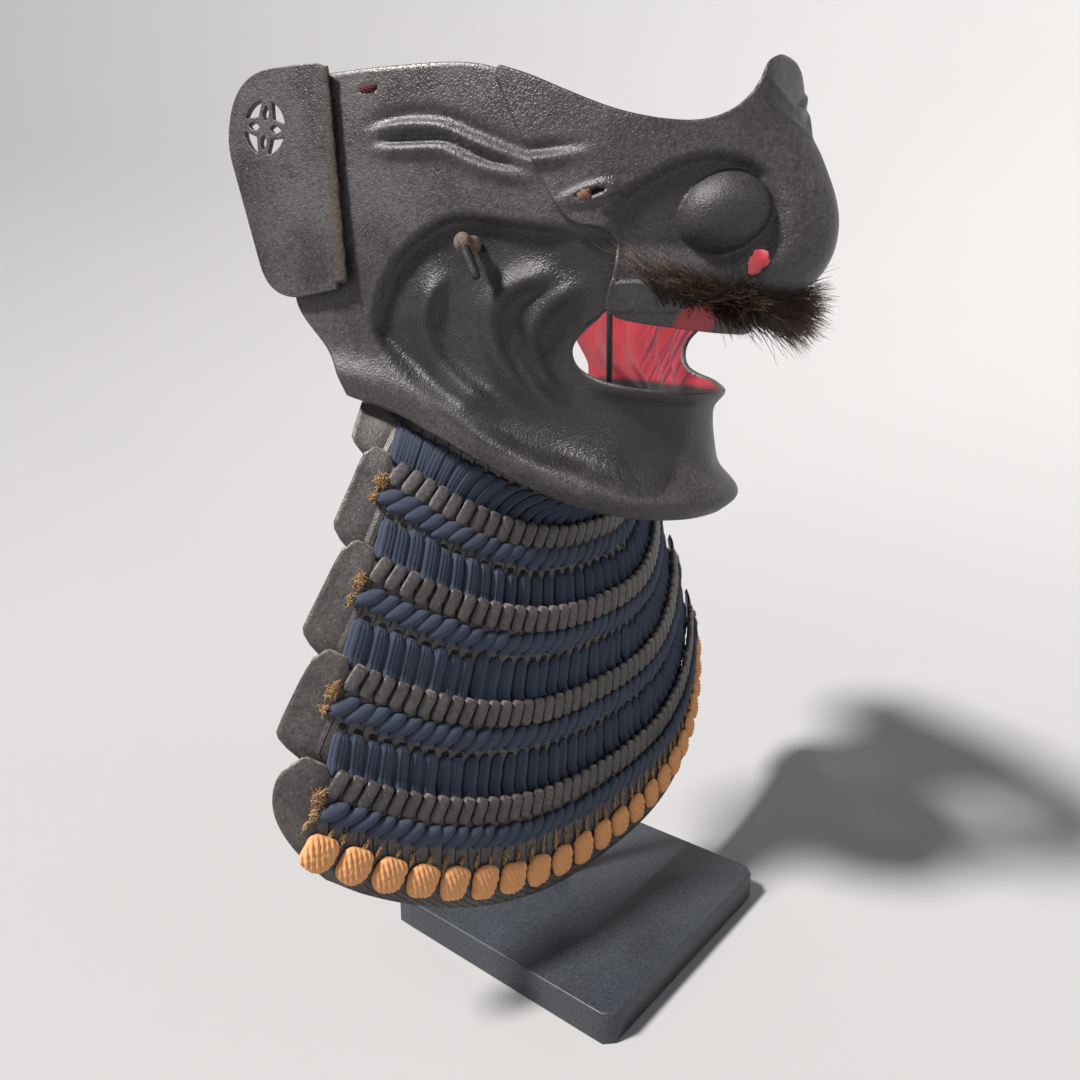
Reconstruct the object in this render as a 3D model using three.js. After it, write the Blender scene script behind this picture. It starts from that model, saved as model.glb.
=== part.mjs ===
// Samurai face guard: a lacquered iron half mask with a removable nose piece,
// ear plates and a moustache, and a laced throat guard of five lames, held on a
// plain square stand. Millimetres, +Z up, the face looks along -Y, +X is the
// wearer's left, and the origin is the centre of the underside of the base.
import * as THREE from 'three';

// ---- driving dimensions -------------------------------------------------
const BASE_SIDE = 100;
const BASE_THICKNESS = 11.5;
const BASE_CORNER = 1.2;
const GAP = 0.4;

const FACE_HALF_WIDTH = 75;
const FACE_REAR_Y = 80;
const WALL = 1.8;

const POST_LOW_RADIUS = 3;
const POST_HIGH_RADIUS = 1;
const POST_FOOT_Y = 8;
const POST_Y = -10;
const POST_HOOK_Y = -58;

const LAME_WALL = 1.4;
const LAME_SHINGLE = 4.6;
const LAME_REACH = 1.12;
const HEM_LEVEL = 5.15;
const BRAID_THICKNESS = 2.6;
const LACING_THICKNESS = 2.1;
const LACED_SHARE = 0.93;
const LAME_FLARE = 0.04;
const FOOT_ROUND = 0.1;
const HEM_ROUND = 0.1;

const PAD_COUNT = 22;
const PAD_WIDTH = 9.6;
const PAD_HEIGHT = 10.4;
const PAD_THICKNESS = 2.4;
const PAD_LEVEL = 4.88;

// ---- finishes -----------------------------------------------------------
const finish = (color, roughness, metalness = 0) =>
  new THREE.MeshStandardMaterial({ color, roughness, metalness });
const lacquer = finish(0x2b2625, 0.5, 0.3);
const lacedIron = finish(0x564c47, 0.6, 0.2);
const navySilk = finish(0x1b2130, 0.9);
const orangeSilk = finish(0xb5713f, 0.9);
const horsehair = finish(0x241911, 0.8);
const cordBrown = finish(0x4a3529, 0.9);
const standSteel = finish(0x3f454a, 0.45, 0.4);

const group = new THREE.Group();

function add(name, geometry, material) {
  const mesh = new THREE.Mesh(geometry, material);
  mesh.name = name;
  group.add(mesh);
  return mesh;
}

// ---- small numeric helpers ----------------------------------------------
const clamp01 = (t) => Math.min(1, Math.max(0, t));
const smooth = (t) => clamp01(t) ** 2 * (3 - 2 * clamp01(t));
const bell = (d, width) => Math.exp(-((d / width) ** 2));

// A smooth curve of one number over another: a cubic Hermite through the
// knots [place, value], with the slope at each knot taken from its neighbours.
function curve(knots) {
  const last = knots.length - 1;
  const slope = knots.map((_, i) => {
    const a = knots[Math.max(0, i - 1)];
    const b = knots[Math.min(last, i + 1)];
    return (b[1] - a[1]) / (b[0] - a[0]);
  });
  return (place) => {
    let i = 0;
    while (i < last - 1 && place > knots[i + 1][0]) i += 1;
    const [x0, y0] = knots[i];
    const [x1, y1] = knots[i + 1];
    const step = x1 - x0;
    const t = clamp01((place - x0) / step);
    const h = t * t * (3 - 2 * t);
    return y0 * (1 - h) + y1 * h + step * (t * (1 - t) ** 2 * slope[i] - t * t * (1 - t) * slope[i + 1]);
  };
}

// The distance from a point to a line through a list of points.
function distanceToLine(y, z, line) {
  let best = Infinity;
  for (let i = 0; i + 1 < line.length; i += 1) {
    const [ay, az] = line[i];
    const [by, bz] = line[i + 1];
    const ly = by - ay;
    const lz = bz - az;
    const t = clamp01(((y - ay) * ly + (z - az) * lz) / (ly * ly + lz * lz));
    best = Math.min(best, Math.hypot(y - ay - t * ly, z - az - t * lz));
  }
  return best;
}

// ---- closed solids ------------------------------------------------------
// A grid of points is closed into a solid: front grid, back grid and rim.
function closeSheets(front, back, rows, columns) {
  const positions = [...front, ...back].flat();
  const index = [];
  const size = rows * columns;
  const at = (i, j) => i * columns + j;
  const quad = (a, b, c, d) => index.push(a, b, c, a, c, d);
  for (let i = 0; i + 1 < rows; i += 1) {
    for (let j = 0; j + 1 < columns; j += 1) {
      quad(at(i, j), at(i, j + 1), at(i + 1, j + 1), at(i + 1, j));
      quad(size + at(i, j), size + at(i + 1, j), size + at(i + 1, j + 1), size + at(i, j + 1));
    }
  }
  const rim = [];
  for (let j = 0; j + 1 < columns; j += 1) rim.push(at(0, j));
  for (let i = 0; i + 1 < rows; i += 1) rim.push(at(i, columns - 1));
  for (let j = columns - 1; j > 0; j -= 1) rim.push(at(rows - 1, j));
  for (let i = rows - 1; i > 0; i -= 1) rim.push(at(i, 0));
  rim.forEach((a, k) => {
    const b = rim[(k + 1) % rim.length];
    quad(a, size + a, size + b, b);
  });
  const geometry = new THREE.BufferGeometry();
  geometry.setAttribute('position', new THREE.Float32BufferAttribute(positions, 3));
  geometry.setIndex(index);
  return geometry;
}

// A wall that follows surface(u, v) for u and v from 0 to 1. Its outer skin
// stands `out` off the surface along the normal and its inner skin `into`.
// The columns run from the wearer's right to left, and the rows go upwards.
function wall(surface, columns, rows, out, into) {
  const grid = [];
  for (let i = 0; i < rows; i += 1) {
    for (let j = 0; j < columns; j += 1) grid.push(surface(j / (columns - 1), i / (rows - 1)));
  }
  const at = (i, j) => new THREE.Vector3(...grid[i * columns + j]);
  const front = [];
  const back = [];
  for (let i = 0; i < rows; i += 1) {
    for (let j = 0; j < columns; j += 1) {
      const along = at(i, Math.min(columns - 1, j + 1)).sub(at(i, Math.max(0, j - 1)));
      const up = at(Math.min(rows - 1, i + 1), j).sub(at(Math.max(0, i - 1), j));
      const normal = along.cross(up).normalize();
      const outward = typeof out === 'function' ? out(i / (rows - 1), j / (columns - 1)) : out;
      const depth = typeof into === 'function' ? into(i / (rows - 1), j / (columns - 1)) : into;
      front.push(at(i, j).addScaledVector(normal, outward).toArray());
      back.push(at(i, j).addScaledVector(normal, outward - depth).toArray());
    }
  }
  return closeSheets(front, back, rows, columns);
}

// A closed rod along points, with its own radius at each point.
function rod(points, radii, sides) {
  const path = points.map((p) => new THREE.Vector3(...p));
  const positions = [];
  const index = [];
  let side = new THREE.Vector3(1, 0, 0);
  path.forEach((p, i) => {
    const ahead = path[Math.min(path.length - 1, i + 1)].clone();
    const tangent = ahead.sub(path[Math.max(0, i - 1)]).normalize();
    side = side.clone().addScaledVector(tangent, -side.dot(tangent)).normalize();
    const other = new THREE.Vector3().crossVectors(tangent, side);
    for (let k = 0; k < sides; k += 1) {
      const angle = (2 * Math.PI * k) / sides;
      const ring = p.clone().addScaledVector(side, radii[i] * Math.cos(angle));
      positions.push(...ring.addScaledVector(other, radii[i] * Math.sin(angle)).toArray());
    }
  });
  for (let i = 0; i + 1 < path.length; i += 1) {
    for (let k = 0; k < sides; k += 1) {
      const a = i * sides + k;
      const b = i * sides + ((k + 1) % sides);
      index.push(a, b, b + sides, a, b + sides, a + sides);
    }
  }
  const end = (path.length - 1) * sides;
  for (let k = 1; k + 1 < sides; k += 1) {
    index.push(0, k + 1, k);
    index.push(end, end + k, end + k + 1);
  }
  const geometry = new THREE.BufferGeometry();
  geometry.setAttribute('position', new THREE.Float32BufferAttribute(positions, 3));
  geometry.setIndex(index);
  return geometry;
}

// ---- the face -----------------------------------------------------------
// Each level of the face is a parabola: its tip is on the front line, and it
// reaches the rear at the half width.
const frontLine = curve([
  [158, -45], [168, -48.8], [180, -47.5], [192, -45.8],
  [204, -47], [216, -52.4], [230, -61], [250, -67.5], [270, -69.5], [292, -66.5],
]);

function faceY(x, z) {
  const tip = frontLine(z);
  return tip + (FACE_REAR_Y - tip) * (x / FACE_HALF_WIDTH) ** 2;
}

// The outward direction of a level of the face, seen from above.
function faceOut(x, z) {
  const slope = (2 * x * (FACE_REAR_Y - frontLine(z))) / FACE_HALF_WIDTH ** 2;
  const length = Math.hypot(slope, 1);
  return [slope / length, -1 / length];
}

function onFace(x, z, outward) {
  const [ox, oy] = faceOut(x, z);
  return [x + ox * outward, faceY(x, z) + oy * outward, z];
}

// Side view lines (y, z): the rim of the sunken cheek, the folds in it, and
// the two wrinkles under the eye.
const CHEEK_RIM = [
  [-44, 243], [-24, 246], [-8, 248.5], [6, 250.5], [17, 247], [27, 239], [33, 229],
  [35.5, 219], [31, 209], [20, 198.5], [8, 188.5], [-6, 181], [-20, 177], [-44, 174],
];
const CHEEK_FOLDS = [
  [[9, 236], [14, 231.5], [18, 224], [18.3, 218], [15.5, 210], [9.5, 203.5], [3, 198.5], [-5, 193]],
  [
    [-25, 233.5], [-16, 232.8], [-8.2, 230.5], [-2.8, 225.5], [-1, 220], [-1.7, 213], [-4.8, 206],
    [-9.8, 198.6], [-15.5, 192.5],
  ],
  [
    [-29, 231.5], [-23, 229], [-18, 226], [-13, 220.3], [-11.3, 214.5], [-12.8, 207.5], [-16, 201.8],
    [-20.5, 195.5],
  ],
];
const WRINKLES = [
  [[34, 272], [20, 274.7], [10, 273.4], [1, 269.3], [-5.5, 266.4], [-17, 262.8], [-33, 264]],
  [[33, 269.5], [20, 268.4], [10, 267.8], [2.5, 264.1], [-7, 260.8], [-20, 259.3]],
];
const RECESS_DEPTH = 3.2;
const FOLD_HEIGHT = 2.6;
const FOLD_WIDTH = 3.4;
const WRINKLE_HEIGHT = 1.7;
const WRINKLE_WIDTH = 2.2;

function insideCheek(y, z) {
  let inside = false;
  CHEEK_RIM.forEach(([ay, az], i) => {
    const [by, bz] = CHEEK_RIM[(i + 1) % CHEEK_RIM.length];
    if ((az > z) !== (bz > z) && y < ay + ((z - az) * (by - ay)) / (bz - az)) inside = !inside;
  });
  return inside;
}

function cheekRelief(x, z) {
  const y = faceY(x, z);
  const front = smooth((y + 34) / 20);
  let height = 0;
  if (insideCheek(y, z)) height -= RECESS_DEPTH * front * smooth(distanceToLine(y, z, CHEEK_RIM) / 5);
  CHEEK_FOLDS.forEach((line) => {
    height += FOLD_HEIGHT * bell(distanceToLine(y, z, line), FOLD_WIDTH);
  });
  WRINKLES.forEach((line) => {
    height += WRINKLE_HEIGHT * bell(distanceToLine(y, z, line), WRINKLE_WIDTH);
  });
  return height;
}

// ---- the mask shell: cheeks, jaw and lower lip in one piece ---------------
// Cross lines of one half, from the rear to the middle of the chin. Each has a
// foot on the jaw edge and a head on the upper edge, as (x, z).
const JAW_EDGE = [
  [-63.5, 199], [-62, 197.8], [-60, 196], [-58.5, 194.5], [-57, 192.8], [-55.5, 190.8], [-54, 188.8],
  [-52, 186.3], [-48.5, 181.5], [-44.5, 176.5], [-40, 171.8], [-33, 167], [-23, 163.6], [-11, 162.6], [0, 162.8],
];
const UPPER_EDGE = [
  [-67, 290.5], [-60, 290.4], [-51.5, 289], [-46.5, 284], [-39.5, 271], [-33.5, 250], [-30.8, 229],
  [-33.4, 223.4], [-36, 215.6], [-34.6, 209], [-30.8, 204.8], [-25, 202.2], [-17, 200.6], [-8, 200], [0, 200],
];
const FLANGE_HEIGHT = 6.5;
const FLANGE_RISE = 6;
const LIP_ROLL = 3.2;
const THROAT_DEPTH = [4, 14];
const REAR_BULGE = 5;
const REAR_BULGE_Z = 229;

const alongList = (list, axis) => curve(list.map((point, i) => [i / (list.length - 1), point[axis]]));
const jawX = alongList(JAW_EDGE, 0);
const jawZ = alongList(JAW_EDGE, 1);
const upperX = alongList(UPPER_EDGE, 0);
const upperZ = alongList(UPPER_EDGE, 1);

// The point of the shell at u across (0 right ear, 1 left ear) and v up. The
// first share of v is the turned-in throat below the jaw flange.
const THROAT_SHARE = 0.12;
function shellPoint(u, v) {
  const side = u > 0.5 ? -1 : 1;
  const t = 1 - Math.abs(2 * u - 1);
  const w = Math.max(0, (v - THROAT_SHARE) / (1 - THROAT_SHARE));
  const turn = Math.max(0, 1 - v / THROAT_SHARE);
  const z = jawZ(t) * (1 - w) + upperZ(t) * w;
  const rearward = REAR_BULGE * bell(z - REAR_BULGE_Z, 16) * (1 - smooth(t * 6));
  const x = jawX(t) * (1 - w) + upperX(t) * w - rearward;
  const flange = FLANGE_HEIGHT * (0.45 + 0.55 * smooth(t * 1.6 - 0.6));
  let out = flange * bell(z - jawZ(t) - FLANGE_RISE, 6);
  out += cheekRelief(x, z) * smooth((z - jawZ(t) - 4) / 6);
  const lipShare = smooth((t - 0.68) * 9);
  out += LIP_ROLL * lipShare * bell(upperZ(t) - z, 3.2);
  out -= turn * (THROAT_DEPTH[0] + (THROAT_DEPTH[1] - THROAT_DEPTH[0]) * smooth(t * 1.5 - 0.5));
  const point = onFace(x, z - turn * 1.2, out);
  point[0] *= side;
  return point;
}

function buildShell() {
  add('mask_shell', wall(shellPoint, 57, 19, 0, WALL), lacquer);
}

// ---- the nose piece -------------------------------------------------------
const NOSE_LOWER = [
  [-48.2, 284.5], [-46.6, 273], [-44.6, 263], [-42.2, 253], [-39.6, 247.4], [-36, 245.9], [-33.8, 243],
  [-33.1, 236.5], [-32.9, 227], [-31.4, 223], [-27, 221], [-20, 219.6], [-12, 218.4], [-5, 217.8], [0, 217.6],
];
const NOSE_UPPER = [
  [-48, 286.5], [-45, 283.6], [-41.5, 279.6], [-38, 276], [-35, 273.6], [-32, 272], [-29, 271],
  [-25.5, 270.6], [-22, 271.4], [-18, 274], [-14.5, 278], [-11.5, 282.5], [-9, 286.4], [-5, 288.5], [0, 289],
];
const NOSE_OFFSET = 3;
const NOSE_RIDGE = curve([
  [217, 0], [223, 2], [228, 7], [232, 12.5], [238, 14.4], [245, 13.6], [252, 11], [261, 6], [266, 3.1],
  [270, 0.4], [276, -2.3], [282, -3.4], [291, -2.8],
]);
const NOSE_RIDGE_WIDTH = 10.5;
const NOSTRIL = { x: 17.8, z: 249, halfX: 8.1, halfZ: 10.6, rise: 6.8 };

const noseLowerX = alongList(NOSE_LOWER, 0);
const noseLowerZ = alongList(NOSE_LOWER, 1);
const noseUpperX = alongList(NOSE_UPPER, 0);
const noseUpperZ = alongList(NOSE_UPPER, 1);

function noseRelief(x, z) {
  const ridge = NOSE_RIDGE(z) * bell(x, NOSE_RIDGE_WIDTH);
  const reach = Math.hypot((Math.abs(x) - NOSTRIL.x) / NOSTRIL.halfX, (z - NOSTRIL.z) / NOSTRIL.halfZ);
  const bulb = reach < 1 ? NOSTRIL.rise * Math.sqrt(1 - reach * reach) : 0;
  const crease = -2.2 * bell(reach - 1.25, 0.3) * smooth((z - 236) / 10);
  return ridge + bulb + crease;
}

function nosePoint(u, v) {
  const side = u > 0.5 ? -1 : 1;
  const t = 1 - Math.abs(2 * u - 1);
  const x = noseLowerX(t) * (1 - v) + noseUpperX(t) * v;
  const z = noseLowerZ(t) * (1 - v) + noseUpperZ(t) * v;
  const wing = smooth((Math.abs(x) - 28) / 8);
  const out = NOSE_OFFSET + noseRelief(x, z) + wing * cheekRelief(x, z);
  const point = onFace(x, z, out);
  point[0] *= side;
  return point;
}

function buildNose() {
  add('nose_piece', wall(nosePoint, 45, 17, 0, WALL), lacquer);
}

// ---- ear plates -----------------------------------------------------------
// Drawn flat as (rearwards, up) from the front lower corner, pierced with a
// ring of four plain petals, then turned to stand along the rear of the cheek.
const EAR_FRONT = [-66.2, 43.5, 230.6];
const EAR_FLARE = 15.5 * (Math.PI / 180);
const EAR_TOP = 61;
const EAR_THICKNESS = 1.8;
const CREST = { along: 22.8, up: 47, radius: 7.8, wire: 0.7, boss: 1.5, tilt: 0.2 };

function earOutline() {
  const shape = new THREE.Shape();
  shape.moveTo(0, 0.5);
  shape.lineTo(0, EAR_TOP - 1);
  shape.lineTo(4, EAR_TOP + 1);
  shape.lineTo(20, EAR_TOP + 1.5);
  shape.quadraticCurveTo(33, EAR_TOP + 1, 36, 49);
  shape.quadraticCurveTo(37.5, 44, 36, 38);
  shape.lineTo(28, 8);
  shape.quadraticCurveTo(25, -2, 14, -1.5);
  shape.lineTo(0, 0.5);
  return shape;
}

// Four petals inside and four gaps between them and the ring, as holes.
function crestHoles() {
  const holes = [];
  const place = (radius, angle) => [
    CREST.along + radius * Math.cos(angle),
    CREST.up + radius * Math.sin(angle),
  ];
  for (let k = 0; k < 4; k += 1) {
    const axis = CREST.tilt + (k * Math.PI) / 2;
    const petal = new THREE.Path();
    petal.moveTo(...place(CREST.boss + 0.3, axis));
    petal.quadraticCurveTo(...place(4.6, axis - 0.62), ...place(CREST.radius - CREST.wire - 0.6, axis));
    petal.quadraticCurveTo(...place(4.6, axis + 0.62), ...place(CREST.boss + 0.3, axis));
    holes.push(petal);
    const gap = new THREE.Path();
    const diagonal = axis + Math.PI / 4;
    gap.moveTo(...place(CREST.boss + 2.2, diagonal));
    for (let s = -3; s <= 3; s += 1) gap.lineTo(...place(CREST.radius, diagonal + s * 0.2));
    gap.lineTo(...place(CREST.boss + 2.2, diagonal));
    holes.push(gap);
  }
  return holes;
}

function buildEarPlate(name, side) {
  const shape = earOutline();
  shape.holes.push(...crestHoles());
  const geometry = new THREE.ExtrudeGeometry(shape, {
    depth: EAR_THICKNESS, bevelEnabled: false, curveSegments: 8,
  });
  // Drawn in XY with depth along Z: stand it up, with its outer face outwards.
  const stand = new THREE.Matrix4().set(
    0, 0, side, 0,
    1, 0, 0, 0,
    0, 1, 0, 0,
    0, 0, 0, 1,
  );
  geometry.applyMatrix4(stand);
  if (side < 0) flipFaces(geometry);
  const plate = add(name, geometry, lacquer);
  plate.position.set(-side * EAR_FRONT[0], EAR_FRONT[1], EAR_FRONT[2]);
  plate.rotation.z = -side * EAR_FLARE;
}

// Reverses the winding of a geometry that a reflection has turned inside out.
function flipFaces(geometry) {
  const place = geometry.getAttribute('position');
  const corner = new THREE.Vector3();
  const other = new THREE.Vector3();
  for (let i = 0; i < place.count; i += 3) {
    corner.fromBufferAttribute(place, i + 1);
    other.fromBufferAttribute(place, i + 2);
    place.setXYZ(i + 1, other.x, other.y, other.z);
    place.setXYZ(i + 2, corner.x, corner.y, corner.z);
  }
}

// ---- cord pegs and ties on the mask ---------------------------------------
const PEG = { x: 50.8, z: 241.8, reach: 6, drop: 10, radius: 1.6 };
const NOSE_TIE = { x: 38, z: 254 };
const RIM_TIE = { x: 61.6, z: 285.6 };

// A point beside the face, mirrored to the side that is asked for.
function beside(side, x, z, outward) {
  const point = onFace(-x, z, outward);
  point[0] *= -side;
  return point;
}

function buildPeg(name, side) {
  const root = beside(side, PEG.x, PEG.z, 0.6);
  const surface = beside(side, PEG.x, PEG.z, 0);
  const knee = [surface[0] + side * PEG.reach, surface[1] - 0.6, surface[2] + 0.8];
  const tip = [knee[0] - side * 0.6, knee[1] - 5, knee[2] - PEG.drop];
  add(name, rod([root, knee, tip], [PEG.radius, PEG.radius * 1.15, PEG.radius * 0.8], 8), cordBrown);
}

function buildTie(name, side, place, outward, radius, length) {
  const start = beside(side, place.x + length / 2, place.z, outward);
  const middle = beside(side, place.x, place.z + 0.3, outward + 0.4);
  const end = beside(side, place.x - length / 2, place.z + 0.6, outward);
  add(name, rod([start, middle, end], [radius * 0.7, radius, radius * 0.7], 8), cordBrown);
}

// ---- moustache --------------------------------------------------------------
// One bundle under the nose that thins and fans out to both sides.
const MOUSTACHE = [
  { x: 0, y: -76, z: 221, radius: 5.8 },
  { x: 9, y: -75.5, z: 221.5, radius: 6.5 },
  { x: 19, y: -71.5, z: 224, radius: 6.4 },
  { x: 30, y: -61, z: 229.5, radius: 5.2 },
  { x: 40, y: -48, z: 236, radius: 3 },
  { x: 47, y: -39, z: 239.5, radius: 1.2 },
];

function buildMoustache() {
  const left = MOUSTACHE.slice(1);
  const run = [...left.slice().reverse().map((p) => ({ ...p, x: -p.x })), MOUSTACHE[0], ...left];
  add('moustache', rod(run.map((p) => [p.x, p.y, p.z]), run.map((p) => p.radius), 10), horsehair);
}

// ---- throat guard -----------------------------------------------------------
// The guard is one flared bib. At each level it is a curve with a half width,
// a front and a rear y, and a front and a rear height; levels 1 to 4 are the
// top edges of the visible lames and the last is the hem.
const BIB_WIDTH = curve([[0, 55], [1, 67], [2, 82], [3, 97.5], [4, 110], [HEM_LEVEL, 115]]);
const BIB_FRONT = curve([[0, -24], [1, -3], [2, -7], [3, -8.5], [4, -12], [HEM_LEVEL, -14.5]]);
const BIB_REAR = curve([[0, 46], [1, 33], [2, 26], [3, 22], [4, 19], [HEM_LEVEL, 16]]);
const BIB_FRONT_Z = curve([[0, 165], [1, 153], [2, 128], [3, 98], [4, 68], [HEM_LEVEL, 31]]);
const BIB_REAR_Z = curve([[0, 204], [1, 186], [2, 160], [3, 131], [4, 103], [HEM_LEVEL, 70]]);
const BIB_BOW = 2.6;
const BIB_SAG = 2.55;

function bibPoint(s, level) {
  const bow = Math.abs(s) ** BIB_BOW;
  const sag = Math.abs(s) ** BIB_SAG;
  const front = BIB_FRONT(level);
  const low = BIB_FRONT_Z(level);
  return [
    BIB_WIDTH(level) * s,
    front + (BIB_REAR(level) - front) * bow,
    low + (BIB_REAR_Z(level) - low) * sag,
  ];
}

// A band of the guard between two levels, drawn with its rows going up.
function bibBand(from, to, reach, columns, rows, out, thickness) {
  const surface = (u, v) => bibPoint((2 * u - 1) * reach(1 - v), to + (from - to) * v);
  return wall(surface, columns, rows, (v) => out(to + (from - to) * v), thickness);
}

// The free ends of a lame flare out past the bib and round in again at its
// foot; down runs from 0 at the top edge to 1 at the foot.
const lameReach = (down) => 1 + LAME_FLARE * down ** 1.2 - FOOT_ROUND * Math.max(0, (down - 0.8) / 0.2) ** 2.2;
const hemReach = (down) => 1 + LAME_FLARE * Math.sin(Math.PI * 0.75 * down) - HEM_ROUND * down ** 5;
const lacedReach = () => LACED_SHARE;

// How far the outer face of a lame lies inside the bib: it leans inwards so
// that its foot passes behind the top edge of the next lame.
const lameOut = (lame) => (level) => -LAME_SHINGLE * (level - lame);

function buildLames() {
  for (let lame = 0; lame <= 4; lame += 1) {
    const foot = lame < 4 ? lame + LAME_REACH : HEM_LEVEL;
    const lean = lame < 4 ? lameOut(lame) : () => 0;
    const reach = lame < 4 ? lameReach : hemReach;
    add(`lame_${lame}`, bibBand(lame, foot, reach, 33, 5, lean, LAME_WALL), lacedIron);
    const columns = 31;
    if (lame > 0) {
      const above = (level) => lean(level) + GAP + BRAID_THICKNESS;
      const braid = bibBand(lame + 0.26, lame + 0.56, lacedReach, columns, 2, above, BRAID_THICKNESS);
      add(`braid_${lame}`, braid, navySilk);
    }
    if (lame < 4) {
      const clear = lame === 0 ? 2 * GAP : GAP;
      const above = (level) => lean(level) + clear + LACING_THICKNESS;
      const start = lame === 0 ? 0.4 : 0.62;
      const lacing = bibBand(lame + start, lame + 1.04, lacedReach, columns, 3, above, LACING_THICKNESS);
      add(`lacing_${lame}`, lacing, navySilk);
    }
  }
}

// The silk pads sit side by side just above the hem, evenly along its length.
function buildPads() {
  const steps = 400;
  const line = [];
  let length = 0;
  for (let i = 0; i <= steps; i += 1) {
    const point = new THREE.Vector3(...bibPoint((2 * i) / steps - 1, PAD_LEVEL));
    if (i > 0) length += point.distanceTo(line[i - 1].point);
    line.push({ point, length, s: (2 * i) / steps - 1 });
  }
  const pitch = length / (PAD_COUNT + 0.5);
  for (let k = 0; k < PAD_COUNT; k += 1) {
    const want = length / 2 + (k - (PAD_COUNT - 1) / 2) * pitch;
    const { s } = line.find((entry) => entry.length >= want);
    add(`pad_${String(k + 1).padStart(2, '0')}`, padSolid(s), orangeSilk);
  }
}

// A rounded lozenge whose face is a low dome on the lame at bib position s.
function padSolid(s) {
  const centre = new THREE.Vector3(...bibPoint(s, PAD_LEVEL));
  const along = new THREE.Vector3(...bibPoint(s + 0.01, PAD_LEVEL)).sub(centre).normalize();
  const up = new THREE.Vector3(...bibPoint(s, PAD_LEVEL - 0.05)).sub(centre).normalize();
  const out = new THREE.Vector3().crossVectors(along, up).normalize();
  up.crossVectors(out, along).normalize();
  const outline = 10;
  const levels = [[1, 0], [0.94, 0.55], [0.6, 0.92]];
  const positions = [];
  const index = [];
  levels.forEach(([scale, lift]) => {
    for (let k = 0; k < outline; k += 1) {
      const angle = (2 * Math.PI * (k + 0.5)) / outline;
      const reach = scale / (Math.abs(Math.cos(angle)) ** 3 + Math.abs(Math.sin(angle)) ** 3) ** (1 / 3);
      const point = centre.clone().addScaledVector(along, (PAD_WIDTH / 2) * reach * Math.cos(angle));
      point.addScaledVector(up, (PAD_HEIGHT / 2) * reach * Math.sin(angle));
      positions.push(...point.addScaledVector(out, GAP + 0.3 + PAD_THICKNESS * lift).toArray());
    }
  });
  const top = levels.length * outline;
  positions.push(...centre.clone().addScaledVector(out, GAP + 0.3 + PAD_THICKNESS).toArray());
  for (let ring = 0; ring + 1 < levels.length; ring += 1) {
    for (let k = 0; k < outline; k += 1) {
      const a = ring * outline + k;
      const b = ring * outline + ((k + 1) % outline);
      index.push(a, b, b + outline, a, b + outline, a + outline);
    }
  }
  for (let k = 0; k < outline; k += 1) {
    index.push(top - outline + k, top - outline + ((k + 1) % outline), top);
    if (k > 0 && k + 1 < outline) index.push(0, k + 1, k);
  }
  const geometry = new THREE.BufferGeometry();
  geometry.setAttribute('position', new THREE.Float32BufferAttribute(positions, 3));
  geometry.setIndex(index);
  return geometry;
}

// ---- stand ------------------------------------------------------------------
function buildStand() {
  const half = BASE_SIDE / 2;
  const corner = BASE_CORNER;
  const plan = new THREE.Shape();
  plan.moveTo(-half + corner, -half);
  plan.lineTo(half - corner, -half);
  plan.quadraticCurveTo(half, -half, half, -half + corner);
  plan.lineTo(half, half - corner);
  plan.quadraticCurveTo(half, half, half - corner, half);
  plan.lineTo(-half + corner, half);
  plan.quadraticCurveTo(-half, half, -half, half - corner);
  plan.lineTo(-half, -half + corner);
  plan.quadraticCurveTo(-half, -half, -half + corner, -half);
  const plate = new THREE.ExtrudeGeometry(plan, {
    depth: BASE_THICKNESS, bevelEnabled: false, curveSegments: 3,
  });
  add('base_plate', plate, standSteel);
  const foot = BASE_THICKNESS + 0.3;
  const path = [
    [0, POST_FOOT_Y, foot], [0, POST_FOOT_Y, 150], [0, POST_FOOT_Y, 168], [0, POST_Y, 192],
    [0, POST_Y, 250], [0, POST_Y - 4, 259], [0, POST_Y - 14, 264], [0, POST_HOOK_Y, 266],
  ];
  const low = POST_LOW_RADIUS;
  const high = POST_HIGH_RADIUS;
  add('stand_post', rod(path, [low, low, low * 0.8, high, high, high, high, high], 8), standSteel);
}

buildStand();
buildShell();
buildNose();
buildEarPlate('ear_plate_right', -1);
buildEarPlate('ear_plate_left', 1);
buildPeg('cord_peg_right', -1);
buildPeg('cord_peg_left', 1);
buildTie('nose_tie_right', -1, NOSE_TIE, 5.2, 1.4, 6);
buildTie('nose_tie_left', 1, NOSE_TIE, 5.2, 1.4, 6);
buildTie('rim_tie_right', -1, RIM_TIE, 1.8, 1, 6);
buildTie('rim_tie_left', 1, RIM_TIE, 1.8, 1, 6);
buildMoustache();
buildLames();
buildPads();

export default group;
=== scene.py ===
"""Samurai face guard on its display stand: a lacquered iron half mask with a removable nose piece,
ear plates, a horsehair moustache, and a throat guard of five iron lames laced with silk.

Shapes are worked out in millimetres in the frame's own axes (+Z up, the face looks along -Y, +X is the
wearer's left) and are scaled to metres when a mesh is made."""

import math

import bpy
import numpy as np
from bpy.props import FloatProperty, FloatVectorProperty, IntProperty, PointerProperty
from mathutils import Matrix, Vector


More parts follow.
